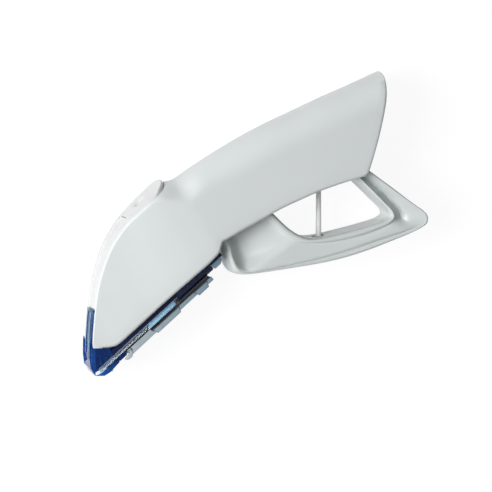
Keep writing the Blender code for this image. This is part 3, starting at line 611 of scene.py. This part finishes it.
# openings for the lever, the strut, the lever's rear arm and the nose channel, with half widths
openings = (
    ([(0.75, -14), (0.75, -6.6), (-0.4, -5.6), (-0.75, -4.7), (-0.5, -4.2), (1.0, -3.6), (3.2, -2.4), (8, 2.2),
      (20, 8.6), (25.5, 10.6), (25.5, 4.0), (10, -4.5)], slotHalf),
    ([(37.4, 8), (40.4, 8), (40.4, 18), (37.4, 18)], 2.4),
    ([(46.0, 10), (46.0, 19), (52.0, 22), (53.5, 30.5), (62, 30.5), (62, 10)], slotHalf),
    ([(-44.6, -29.6), (-40.6, -29.6), (-36.6, -38), (-36.6, -48), (-44.6, -48)], 6.6),
)
for outline, half in openings:
    cut(left, cutter(roundCorners(outline, 0.6), -half, half))
noseCorner = [(-44.75, -40.8), (-44.65, -42.8), (-44.35, -43.05), (-41.2, -43.05), (-41.0, -42.0), (-43.2, -40.0)]
add(left, softPrism("noseCorner", noseCorner, 6.7, 7.62, 0.15, 0.15))
# the magazine's roof lies in a shallow seat between the lower edges
seatX, seatY = round(ax, 4), round(ay, 4)
cut(left, cutter([(magStart[0] + s * seatX + d * seatY, magStart[1] + s * seatY - d * seatX)
                  for s, d in ((-4.4, 0.2), (34, 0.2), (34, 3), (-4.4, 3))], -7.6, 7.6))

right = newObject("rightCasing", left.data.copy())
for v in right.data.vertices:
    v.co.z = 2 * midPlane - v.co.z
right.data.flip_normals()


def innerWorks(side):
    # bearing for the trigger pin, dowel bosses and the spring's shelf
    parts = []
    for x, y, outer, inner, radius in ((0, 0, 12.9, 6.9, 4.3), (-24.5, 1.0, 11.6, 0.15, 3.0),
                                       (16.0, 22.0, 12.9, 0.15, 3.0), (51.0, 34.8, 12.9, 0.15, 3.0)):
        at = lambda far: (x, y, midPlane + side * far)
        boss = softRod("boss", at(outer), at(inner), radius, 0.2, 36)
        cut(boss, bore(at(outer - 0.8), at(inner - 1), casing["pinRadius"] if radius > 4 else 1.8, 30))
        parts.append(boss)
    parts.append(softPrism("shelf", [(33.4, 36), (44.4, 36), (44.4, 37.6), (33.4, 37.6)],
                           *sorted((side * 0.15, side * 10.6)), 0.2, 0.1))
    return parts


joinInto(left, innerWorks(1))
joinInto(right, innerWorks(-1))
dress(left, "leftCasing", [shellWhite], "left_casing", 40)
dress(right, "rightCasing", [shellWhite], "right_casing", 40)


# spine cover

spineCover = {
    "thick": 1.5, "edge": 0.4, "proud": 1.5, "channelHalf": 4.2, "channelDepth": 0.6, "channelStart": 12.68,
    "dimplePlace": (-26.9, 8.05), "dimpleNormal": (-0.69, 0.72), "dimpleSize": (2.2, 4.0, 1.8), "dimpleDepth": 1.1,
    "dimpleAt": 1.2, "lineAt": 2.3, "lineDepth": 0.14,
}


def coverPoint(u, k):
    bx, by, dx, dy, h, w, rt, sq, _, _ = sectionFrame(u)
    half = leafHalf(u)
    rt, sq = min(rt, 3.4), max(sq, 3.6)
    s = leafShare(u)
    z = k * half
    drop = rt * (1 - (1 - min(abs(z) / w, 1) ** sq) ** (1 / sq))
    up = h - drop + spineCover["proud"] * s * s
    # rounded rim, measured from the leaf's edge
    full = sectionAt(u)[4] - casing["rim"]
    near = (1 - (abs(z) / full) ** (1 / casing["leafPower"]) - s * s) * full * 0.5 if s > 0 else half - abs(z)
    e = spineCover["edge"] * (1 + s)
    if near < e:
        up -= e - sqrt(max(e * e - (e - max(near, 0)) ** 2, 0))
    channel = ease((spineCover["channelHalf"] - abs(z)) / 0.5) * ease((u - spineCover["channelStart"]) / 0.08)
    line = spineCover["lineDepth"] * ease(1 - abs(abs(z) - spineCover["lineAt"]) / 0.5)
    up -= (spineCover["channelDepth"] + line) * channel
    x, y = bx + dx * up, by + dy * up
    cx, cy = spineCover["dimplePlace"]
    nx, ny = spineCover["dimpleNormal"]
    along = (x - cx) * ny - (y - cy) * nx
    # the dimple is a scoop, gentle on one side and steep on the other
    aside = z - spineCover["dimpleAt"]
    far = hypot(along / spineCover["dimpleSize"][0], aside / spineCover["dimpleSize"][1 if aside < 0 else 2])
    deep = spineCover["dimpleDepth"] * ease(1.25 - far) if far < 1.25 else 0
    return (x - nx * deep, y - ny * deep, midPlane + z)


def coverShape():
    stops = [casing["leafStart"] + 0.004 + 0.5 * (i / 12) ** 2 for i in range(13)]
    stops += [10.5 + i * 0.07 for i in range(1, 30)] + [12.6 + i * 0.06 for i in range(10)]
    stops += [13.2 + i * 0.15 for i in range(1, 31)] + [17.75, 17.8]
    stops = sorted(u for u in stops if u <= 17.8)
    across = [-1 + 2 * i / 72 for i in range(73)]
    across = [copysign(abs(k) ** 0.9, k) for k in across]
    rings = []
    for u in stops:
        bx, by, dx, dy, h, _, _, _, _, steep = sectionFrame(u)
        half = leafHalf(u)
        ring = [coverPoint(u, k) for k in across]
        for k in across[::-1]:
            floor = h - spineCover["thick"] / steep - 0.15 - 0.1 * abs(k)
            ring.append((bx + dx * floor, by + dy * floor, midPlane + k * half))
        rings.append(ring)
    return loftRings("spineCover", rings, ladder=True)


cover = coverShape()
# a short slot right beside the dimple
cut(cover, cutter([(-29.35, 7.45), (-28.75, 8.05), (-27.2, 6.5), (-27.8, 5.9)], 1.4, 4.6))
# a fine slot with a deeper hook at one end closes the channel's top
hookX, hookY, _ = coverPoint(spineCover["channelStart"], 0)
outX, outY = outwards(spineCover["channelStart"])
for reach, low, high in ((0.2, -4.2, 4.3), (0.42, 2.8, 4.5)):
    cut(cover, cutter([(hookX + outX * a - outY * b, hookY + outY * a + outX * b)
                       for a, b in ((0.9, reach), (-0.9, reach), (-0.9, -reach), (0.9, -reach))], low, high))
dress(cover, "spineCover", [coverWhitePaintedShade], "spine_cover", 40)


# trigger lever

lever = {"hubRadius": 5.0, "hubHalf": 6.5, "armHalf": 3.0, "drive": (-28.0, -13.0), "slotHalf": 2.0, "bore": 2.3}
# pairs of points on the finger opening and on the outside, with half width and groove depth
leverSections = [
    (15.5, 8.5, -1.0, -2.5, 7.6, 2.0), (20.7, 3.7, 2.5, -8.3, 8.3, 2.8), (24.0, 0.4, 3.7, -13.0, 8.6, 3.0),
    (27.0, -2.2, 5.9, -17.0, 8.7, 2.8), (30.5, -4.3, 10.0, -18.0, 8.7, 2.4), (34.2, -5.4, 18.5, -17.2, 8.7, 1.8),
    (38.0, -5.2, 27.5, -16.0, 8.7, 1.6), (42.0, -4.5, 37.0, -14.7, 8.7, 1.6), (47.0, -3.4, 46.5, -12.8, 8.7, 1.7),
    (52.0, -2.2, 55.5, -10.2, 8.7, 1.9), (56.6, -1.0, 63.5, -7.3, 8.7, 2.1), (60.7, 0.2, 71.5, -4.2, 8.7, 2.5),
    (63.0, 1.5, 76.7, -1.5, 8.6, 3.0), (63.4, 2.8, 77.9, 0.6, 8.5, 3.3), (62.4, 4.6, 76.9, 3.2, 8.6, 3.4),
    (59.5, 7.4, 71.6, 7.1, 8.7, 3.2), (55.8, 11.0, 65.2, 11.9, 8.7, 3.0), (51.0, 15.6, 58.4, 16.9, 8.7, 2.8),
    (46.7, 20.2, 52.2, 21.6, 8.4, 2.4),
]


def leverRing(t):
    ix, iy, ox, oy, half, groove = smoothRow(leverSections, t)
    length = hypot(ox - ix, oy - iy)
    dx, dy = (ox - ix) / length, (oy - iy) / length
    # distance from the opening and depth, on the front, the lower arm and the rear arm
    front, rear = 1 - ease((t - 2.6) / 1.8), ease((t - 10.9) / 1.9)
    near, deep = min(3.3, length * 0.42), length - 9.0
    fronts = [(2.4, 0.3), (near, groove * 0.5), ((near + deep) / 2, groove * 0.9), (deep, groove * 1.4),
              (length - 6.0, groove * 1.32), (length - 2.8, 0.5), (length - 2.0, 0.0), (length - 1.2, 0.4),
              (length - 0.6, 1.8), (length - 0.2, 4.0), (length, 6.4)]
    lowers = [(2.0, 0.15), (2.7, 0.85), (3.5, 0.7), (length * 0.5, 0.35), (length - 3.2, 0.25), (length - 2.4, 0.8),
              (length - 1.9, 0.95), (length - 1.2, 0.35), (length - 0.7, 0.5), (length - 0.2, 1.4), (length, 3.2)]
    rears = [(1.6, 0.3), (1.95, 0.9), (min(length * 0.40, 4.1), groove * 0.88), (min(length * 0.48, 5.0), groove),
             (min(length * 0.61, 6.8), groove * 0.5), (length - 1.9, 0.35), (length - 1.3, 0.2), (length - 0.9, 0.15),
             (length - 0.5, 0.6), (length - 0.2, 1.4), (length, 3.0)]
    profile = [(0.0, half - 3.6), (0.0, half - 1.5), (0.5, half - 0.4), (1.3, half - 0.05)]
    for three in zip(fronts, lowers, rears):
        far, down = (p * front + q * (1 - front - rear) + r * rear for p, q, r in zip(*three))
        profile.append((far, half - down))
    fine = [smoothRow(profile, i / 4) for i in range(4 * (len(profile) - 1) + 1)]
    fine = [(0.0, 0.0)] + fine + [(length, 0.0)]
    upper = [(ix + dx * v, iy + dy * v, midPlane + w) for v, w in fine]
    lower = [(ix + dx * v, iy + dy * v, midPlane - w) for v, w in fine[::-1]]
    return upper + lower[1:-1]


trigger = loftRings("triggerLever", [leverRing(i / 6) for i in range(6 * (len(leverSections) - 1) + 1)])
add(trigger, softRod("hub", (0, 0, midPlane - lever["hubHalf"] - 0.6), (0, 0, midPlane + lever["hubHalf"] + 0.6),
                     lever["hubRadius"], 0.1, 56))
driveX, driveY = lever["drive"]
armTurn = atan2(driveY, driveX)
driveReach = hypot(driveX, driveY)


def armPoint(r, off):
    return (cos(armTurn) * r - sin(armTurn) * off, sin(armTurn) * r + cos(armTurn) * off)


armOutline = [armPoint(r, off) for r, off in (
    (-1, 4.7), (-1, -4.7), (14, -4.3), (driveReach - 4, -4.2), (37.2, -3.9), (38.2, -3.0), (38.2, 3.0), (37.2, 3.9),
    (driveReach - 4, 4.2), (14, 4.3))]
add(trigger, softPrism("arm", armOutline, -lever["armHalf"], lever["armHalf"], 0.5, 0.3))
# fork slot for the drive pin, round at its inner end
s, slotEnd = lever["slotHalf"], driveReach - 0.9
slotOutline = [armPoint(slotEnd, -s), armPoint(40, -s), armPoint(40, s), armPoint(slotEnd, s)]
slotOutline += [armPoint(slotEnd - s * cos(a), s * sin(a)) for a in map(radians, (60, 30, 0, -30, -60))]
cut(trigger, cutter(slotOutline, -5, 5))
cut(trigger, bore((0, 0, midPlane - 10), (0, 0, midPlane + 10), lever["bore"], 40))
for side in (1, -1):
    # room for the casing's bearing
    cut(trigger, bore((0, 0, midPlane + side * lever["hubHalf"]), (0, 0, midPlane + side * 10),
                      lever["hubRadius"] + 0.1, 48))
# slot for the strut's foot
cut(trigger, cutter(roundCorners([(36.5, -7.7), (40.8, -7.7), (40.8, 0), (36.5, 0)], 0.4), -2.4, 2.4))
dress(trigger, "triggerLever", [leverWhite], "trigger_lever", 42, "trigger")


# return plunger and its spring

strut = {"x": 38.9, "collar": 2.7}


def strutRing(y, hx, hz):
    turns = [2 * pi * i / 24 for i in range(24)]
    return [(strut["x"] + hx * copysign(abs(cos(a)) ** 0.6, cos(a)), y,
             midPlane + hz * copysign(abs(sin(a)) ** 0.6, sin(a))) for a in turns]


# height, half width and half depth, from the foot up
strutRows = [(-7.35, 0.9, 1.3), (-7.2, 1.12, 1.55), (-6.2, 1.2, 1.9), (-5.5, 1.15, 1.85), (-5.0, 1.0, 1.7),
             (-3.6, 0.86, 1.5), (3.0, 0.82, 1.42), (10.0, 0.8, 1.35), (15.0, 0.8, 1.35), (17.4, 0.95, 1.6)]
plunger = loftRings("returnPlunger", [strutRing(*row) for row in strutRows])
add(plunger, softRod("collar", (strut["x"], 17.2, midPlane), (strut["x"], 18.6, midPlane), strut["collar"], 0.3))
add(plunger, turned("stem", (strut["x"], 18.0, midPlane), (strut["x"], 27.5, midPlane),
                    [(0, 1.1), (8.9, 1.0), (9.3, 0.9), (9.5, 0.6)], 32))
dress(plunger, "returnPlunger", [strutWhite], "return_plunger", body="plunger")


def coil(name, start, end, radius, wire, turns, node):
    start, end = Vector(start), Vector(end)
    along = end - start
    side = along.cross(Vector((0, 0, 1))).normalized()
    up = along.cross(side).normalized()
    steps = int(turns * 20)
    pitch = along.length / turns

    def centre(i):
        t = i / steps
        a = 2 * pi * turns * t
        # closed and ground end coils
        share = wire * 1.05 / pitch
        move = t if min(t, 1 - t) * turns > 1 else share * t if t < 0.5 else 1 - share * (1 - t)
        return start + along * move + side * radius * cos(a) + up * radius * sin(a), start + along * move

    rings = []
    for i in range(steps + 1):
        point, middle = centre(i)
        ahead, behind = centre(min(i + 1, steps))[0], centre(max(i - 1, 0))[0]
        t = (ahead - behind).normalized()
        out = (point - middle).normalized()
        third = t.cross(out).normalized()
        rings.append([tuple(point + out * wire / 2 * cos(b) + third * wire / 2 * sin(b))
                      for b in (2 * pi * k / 10 for k in range(10))])
    spring = loftRings(name, rings)
    dress(spring, name, [springSteel], node)
    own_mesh(spring)


springLength = 16.2
coil("returnSpring", (strut["x"], 19.2, midPlane), (strut["x"], 19.2 + springLength, midPlane), 1.9, 0.6, 8,
     "return_spring")


# nose and magazine

nose = {"wallHalf": 7.6, "channelHalf": 6.6, "edge": 0.3, "rib": 3.4, "wing": 7.05}
magazine = {"half": 7.5, "inside": 6.6, "springAt": 4.6, "sleeveEnd": 43.0,
            "roofTo": 1.95, "lineTo": 2.15, "wallTo": 3.75}
springSides = (magazine["springAt"], -magazine["springAt"])


def scoreBand(thing):
    # edges along the borders of the window that shows the staples
    shape = bmesh.new()
    shape.from_mesh(thing.data)
    for depth in (magazine["roofTo"], magazine["lineTo"], magazine["wallTo"]):
        bmesh.ops.bisect_plane(shape, geom=shape.verts[:] + shape.edges[:] + shape.faces[:], dist=0.0005,
                               plane_co=(*slopePoint(0, depth), 0), plane_no=(ay, -ax, 0))
    shape.to_mesh(thing.data)
    shape.free()


def rodPoint(far, z):
    # point on the axis of a feed spring
    return (*slopePoint(far, 2.4), midPlane + z)


def depthOf(face):
    x, y, _ = face.center / mm
    return (x - magStart[0]) * ay - (y - magStart[1]) * ax


wallSide = [(-45.3, -43.15), (-45.3, -50.2), (-43.7, -52.9), (-40.4, -52.9), (-38.4, -51.7), (-37.3, -50.6),
            slopePoint(-3.85, 5.2), slopePoint(-3.85, 0.3), (-38.3, -43.15)]
stripSide = [(-44.3, -29.3), (-44.9, -36), (-45.2, -41), (-45.2, -45), (-45.1, -47), (-43.9, -47),
             (-43.8, -44.2), (-43.5, -41), (-43.25, -36), (-42.8, -30.9)]
guide = softPrism("noseGuide", wallSide, -nose["wallHalf"], nose["wallHalf"], 0.6, nose["edge"])
cut(guide, cutter([(-43.6, -30), (-30, -30), (-30, -60), (-43.6, -60)], -nose["channelHalf"], nose["channelHalf"]))
frontHalf = 6.55
front = softPrism("front", stripSide, -frontHalf, frontHalf, 0.3, 0.45)
for v in front.data.vertices:
    # it widens a little towards the top
    rise = min(max((v.co.y + 44) / 14, 0), 1)
    v.co.z = midPlane + (v.co.z - midPlane) * (6.3 + 0.5 * rise) / frontHalf
add(guide, front)
for z in (nose["rib"], -nose["rib"]):
    add(guide, softPrism("rib", [(-44.1, -30.4), (-44.7, -30.9), (-45.3, -38), (-45.65, -45), (-45.2, -47.5),
                                 (-44.2, -40)], z - 0.35, z + 0.35, 0.2, 0.15))
for z in (nose["wing"], -nose["wing"]):
    add(guide, softPrism("wing", [(-44.6, -44.4), (-45.3, -40.3), (-45.6, -39.9), (-45.8, -41.5), (-45.85, -46.5),
                                  (-45.4, -50.0), (-44.8, -50.6)], z - 0.5, z + 0.5, 0.2, 0.12))
for z in (nose["wallHalf"], -nose["wallHalf"]):
    # shallow pockets in the side walls; their glints are partly real reflection and partly a painted highlight on their
    # rims
    for pocket in ([(-43.3, -46.0), (-42.9, -50.6), (-41.0, -51.4), (-42.0, -46.4)],
                   [(-41.4, -46.0), (-40.5, -51.3), (-38.9, -50.4), (-40.2, -46.0)],
                   [(-39.6, -45.8), (-38.3, -49.6), (-36.6, -47.4), (-38.2, -45.2)]):
        cut(guide, softPrism("pocket", pocket, z - 0.35, z + 0.35, 0.25, 0.2))
scoreBand(guide)
dress(guide, "noseGuide", [clearBlue, clearFrontPaintedLight, clearWall, windowEdgeHighlightPainted, ribCrestHighlightPainted], "nose_guide", 38)
for face in guide.data.polygons:
    # painted light: the front and the rims of the side pockets get a lighter blue as painted highlight and glints, the
    # crests of its ribs a pale painted highlight
    x, y, z = face.center / mm
    across = abs(z - midPlane)
    if y > -45.5 and face.normal.x < -0.5 and abs(across - nose["rib"]) < 0.3:
        face.material_index = 4
    elif y > -46.5 and face.normal.x < -0.5 and across < 6.4:
        face.material_index = 1
    elif abs(face.normal.z) < 0.8 and 7.2 < across < 7.58 and -51.6 < y < -45 and -43.5 < x < -36.4:
        face.material_index = 1
    # the window band: clear wall, with a painted highlight line along its top
    elif x > -42.2 and across > 6.5 and magazine["roofTo"] < depthOf(face) < magazine["wallTo"]:
        face.material_index = 2 if depthOf(face) > magazine["lineTo"] else 3

body = slopePrism("magazineBody", [(-3.8, 0.3), (26.5, 0.3), (26.5, 3.7), (0.2, 3.7), (-0.4, 5.1), (-3.8, 5.1)],
                  magazine["half"], 0.3, 0.2)
cut(body, slopeCutter([(-5, 0.95), (25.6, 0.95), (25.6, 7), (-5, 7)], magazine["inside"]))
for z in springSides:
    cut(body, bore(rodPoint(24, z), rodPoint(28, z), 1.35, 28))
# the roof's side rails run on past the sleeves to the tail clip
for z in (6.98, -6.98):
    add(body, slopePrism("rail", [(26.0, 0.35), (48.4, 0.35), (48.4, 1.9), (26.0, 1.9)], 0.33, 0.1, 0.08, z))
# roof and foot of the walls are deep blue, the band between them is a clear window, with a painted highlight line along
# its top
scoreBand(body)
dress(body, "magazineBody", [clearWall, navyRoof, clearBlue, windowEdgeHighlightPainted], "magazine_body", 38)
for face in body.data.polygons:
    depth = depthOf(face)
    face.material_index = (1 if depth < magazine["roofTo"] else 2 if depth > magazine["wallTo"]
                           else 3 if depth < magazine["lineTo"] and abs(face.normal.z) > 0.9 else 0)

plate = slopePrism("magazinePlate", [(0.6, 4.0), (40.4, 4.0), (40.4, 6.35), (0.6, 6.35)], magazine["half"], 0.3, 0.2)
cut(plate, slopeCutter([(-5, 3.0), (42, 3.0), (42, 5.6), (-5, 5.6)], 6.8))
add(plate, slopePrism("tongue", [(-8.6, 5.5), (-7.6, 5.05), (1.9, 5.1), (1.7, 5.86), (-7.8, 5.9)], 2.6, 0.2, 0.1))
add(plate, slopePrism("lip", [(-8.7, 5.3), (-7.5, 5.3), (-7.3, 6.9), (-8.1, 7.1)], 2.0, 0.2, 0.1))
for tab in (((0.7, 4.3), (1.9, 4.5), (1.7, 6.1), (0.4, 6.8), (-0.9, 6.8), (-1.8, 6.2), (-2.1, 5.6), (0.85, 5.1)),
            ((12.4, 4.92), (24.4, 4.92), (24.1, 6.87), (12.9, 6.87)),
            ((32.3, 4.92), (37.9, 4.92), (37.5, 7.0), (32.7, 7.0))):
    for z in (7.65, -7.65):
        add(plate, slopePrism("tab", tab, 0.3, 0.35, 0.24, z))
for s0, s1, deep in ((11.7, 42.0, 4.86), (1.95, 2.3, 5.2), (12.02, 12.34, 5.42), (24.46, 24.82, 5.42),
                     (31.9, 32.24, 5.42), (37.96, 38.3, 5.42)):
    # the lower side walls from the follower back, then the relief slots beside the tabs
    cut(plate, slopeCutter([(s0, 3.5), (s1, 3.5), (s1, deep), (s0, deep)], 9))
for z in (8.05, -8.05):
    # scored step in the middle tab
    cut(plate, slopeCutter([(15.6, 4.2), (15.9, 4.2), (15.9, 7), (15.6, 7)], 0.35, z))
dress(plate, "magazinePlate", [plateSteel, insidePaintedShade], "magazine_plate", 38)
for face in plate.data.polygons:
    # painted shade: its inside and the rounded edges of the tabs are painted near black
    across = face.center.z / mm - midPlane
    inside = face.normal.x * ay - face.normal.y * ax < -0.7 and abs(across) < 7.0
    inward = face.normal.z * across < -0.7 * abs(across)
    if inside or inward or (abs(across) > 7.55 and abs(face.normal.z) < 0.8):
        face.material_index = 1

staple = {"wire": 0.5, "flat": 0.74, "count": 34, "pitch": 0.6732, "width": 12.0, "leg": 3.0, "first": -9.76,
          "lift": 1.5}


def stapleRings(s):
    cx, cy = slopePoint(s, staple["lift"])
    half, leg, r = staple["width"] / 2, staple["leg"], staple["wire"] / 2
    path = [(-half - 0.1, -leg), (-half - 0.1, -leg + 0.1), (-half, -0.9), (-half + 0.05, -0.5),
            (-half + 0.2, -0.18), (-half + 0.5, 0.0), (-half + 1.0, 0.02)]
    path += [(-z, y) for z, y in path[::-1]]
    rings = []
    for i, (z, y) in enumerate(path):
        a, b = path[max(i - 1, 0)], path[min(i + 1, len(path) - 1)]
        n = hypot(b[0] - a[0], b[1] - a[1])
        nz, ny = (a[1] - b[1]) / n, (b[0] - a[0]) / n
        size = r * (0.45 if i in (0, len(path) - 1) else 1)     # the legs are cut to a point
        turns = [2 * pi * k / 8 for k in range(8)]
        rings.append([(cx + size * staple["flat"] * cos(q), cy + y + ny * size * sin(q),
                       midPlane + z + nz * size * sin(q)) for q in turns])
    return rings


row = [loftRings("staple", stapleRings(staple["first"] + n * staple["pitch"])) for n in range(staple["count"])]
lastS = staple["first"] + (staple["count"] - 1) * staple["pitch"]
bond = [(staple["first"], 1.38), (lastS, 1.38), (lastS, 1.62), (staple["first"], 1.62)]
strip = row[0]
joinInto(strip, row[1:] + [slopePrism("bond", bond, 0.12, 0, 0.03, z) for z in (4.0, -4.0)])
dress(strip, "stapleStrip", [wireSteel], "staples")
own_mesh(strip)

lastX = slopePoint(lastS, staple["lift"])[0]
faceX = lastX + staple["wire"] / 2 + 0.3
lowS, highS = ((faceX - magStart[0] - ay * d) / ax for d in (4.15, 1.25))
follower = slopePrism("follower", [(highS, 1.25), (24.6, 1.25), (24.6, 4.15), (lowS, 4.15)], 6.2, 0.25, 0.25)
cut(follower, slopeCutter([(0, 1.75), (30, 1.75), (30, 6), (0, 6)], 3.0))
dress(follower, "followerSaddle", [followerBlue], "follower", 38, "feed")

sleeveEnd = magazine["sleeveEnd"]
springEnd = sleeveEnd - 0.1
for tag, z in zip(("Left", "Right"), springSides):
    sleeve = softRod("sleeve", rodPoint(26.8, z), rodPoint(sleeveEnd, z), 1.7, 0.2, 48)
    cut(sleeve, bore(rodPoint(26, z), rodPoint(sleeveEnd + 1, z), 1.3, 40))
    dress(sleeve, "springSleeve" + tag, [darkSleeve], "spring_sleeve_" + tag.lower(), 38)
    coil("feedSpring" + tag, rodPoint(25.1, z), rodPoint(springEnd, z), 0.85, 0.3, 16, "feed_spring_" + tag.lower())

c0 = sleeveEnd + 0.3
c1 = c0 + 4.2
clip = slopePrism("tailClip", [(c0, 0.72), (c1 - 0.7, 0.72), (c1, 1.4), (c1, 3.0), (c1 - 1.3, 4.1), (c0, 4.1)],
                  6.6, 0.3, 0.25)
for z in springSides:
    cut(clip, bore(rodPoint(c0 - 0.9, z), rodPoint(c0 + 1.9, z), 0.7, 20))
dress(clip, "tailClip", [paleBlue], "tail_clip", 38)


# inside pieces that stay as the CAD has them

keptNodes = {"staple_rail": railSteel, "ram": bladeSteel, "ram_carrier": carrierGrey}
keptNodes.update((name, pinSteel) for name in ("drive_pin", "trigger_pin", "dowel_nose", "dowel_grip", "dowel_tail",
                                               "feed_rod_left", "feed_rod_right"))
for nodeName, material in keptNodes.items():
    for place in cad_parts[nodeName].material_slots:
        place.material = material


# floor, lights and camera

view = {"turn": 12.0, "tilt": 5.0, "distance": 1.2, "width": 0.1757, "right": 12.0, "down": 8.1}
psi, eps = radians(view["turn"]), radians(view["tilt"])
rightWay = Vector((cos(psi), 0, sin(psi)))
upWay = Vector((sin(psi) * sin(eps), cos(eps), -cos(psi) * sin(eps)))
towards = rightWay.cross(upWay)
aim = (Vector((0, 0, midPlane)) + rightWay * view["right"] - upWay * view["down"]) * mm
camera = newObject("camera", bpy.data.cameras.new("camera"))
camera.data.sensor_width = 36.0
camera.data.lens = 36.0 * view["distance"] / view["width"]
camera.location = aim + towards * view["distance"]
camera.rotation_mode = "QUATERNION"
camera.rotation_quaternion = Matrix((rightWay, upWay, towards)).transposed().to_quaternion()
camera.data.clip_start, camera.data.clip_end = 0.05, 10.0
scene.camera = camera

floorMesh = bpy.data.meshes.new("floor")
floorMesh.from_pydata([(-3, -3, 0), (3, -3, 0), (3, 3, 0), (-3, 3, 0)], [], [(0, 1, 2, 3)])
floor = newObject("floor", floorMesh)
floor.location.z = -0.00005
floorLook = {"colour": 0.88, "glow": 0.84, "white": 1.09}
floorMaterial, tree, shader = newMaterial("paleFloor")
fill(tree, shader, {"Base Color": (floorLook["colour"],) * 3, "Roughness": 0.9, "Specular IOR Level": 0.1})
white = tree.nodes.new("ShaderNodeEmission")
fill(tree, white, {"Color": (1.0, 1.0, 1.0), "Strength": floorLook["white"]})
mixed = tree.nodes.new("ShaderNodeMixShader")
fill(tree, mixed, {"Fac": times(tree, seenDirectly(tree), floorLook["glow"]), 1: shader.outputs["BSDF"],
                   2: white.outputs["Emission"]})
tree.links.new(mixed.outputs["Shader"], tree.nodes["Material Output"].inputs["Surface"])
floorMesh.materials.append(floorMaterial)

world = bpy.data.worlds.new("studio")
world.use_nodes = True
scene.world = world
tree = world.node_tree
# bright on the left, dim on the right, and white where it is seen directly
strength = tree.nodes.new("ShaderNodeMix")
fill(tree, strength, {0: seenDirectly(tree), 2: mapped(tree, alongX(tree, "Generated"), -0.7, 0.7, 0.40, 0.02), 3: 1.0})
fill(tree, tree.nodes["Background"], {"Color": (0.97, 0.985, 1.0), "Strength": strength.outputs[0]})

lamps = (
    # name, place, aim, size, watts
    ("key", (-0.76, 0.05, 0.72), (0.0, 0.0, 0.0), (0.6, 0.6), 10.4),
    ("fill", (0.1, -0.3, 1.0), (0.0, 0.0, 0.0), (0.8, 0.8), 0.5),
    ("rim", (-0.6, -0.35, 0.15), (-0.02, -0.02, 0.014), (0.5, 0.18), 0.3),
)
for name, place, goal, size, watts in lamps:
    light = bpy.data.lights.new(name, "AREA")
    light.shape = "RECTANGLE"
    light.size, light.size_y = size
    light.energy = watts
    lamp = newObject(name, light)
    lamp.location = place
    lamp.rotation_mode = "QUATERNION"
    lamp.rotation_quaternion = (Vector(place) - Vector(goal)).to_track_quat("Z", "Y")

scene.view_settings.view_transform = "Standard"
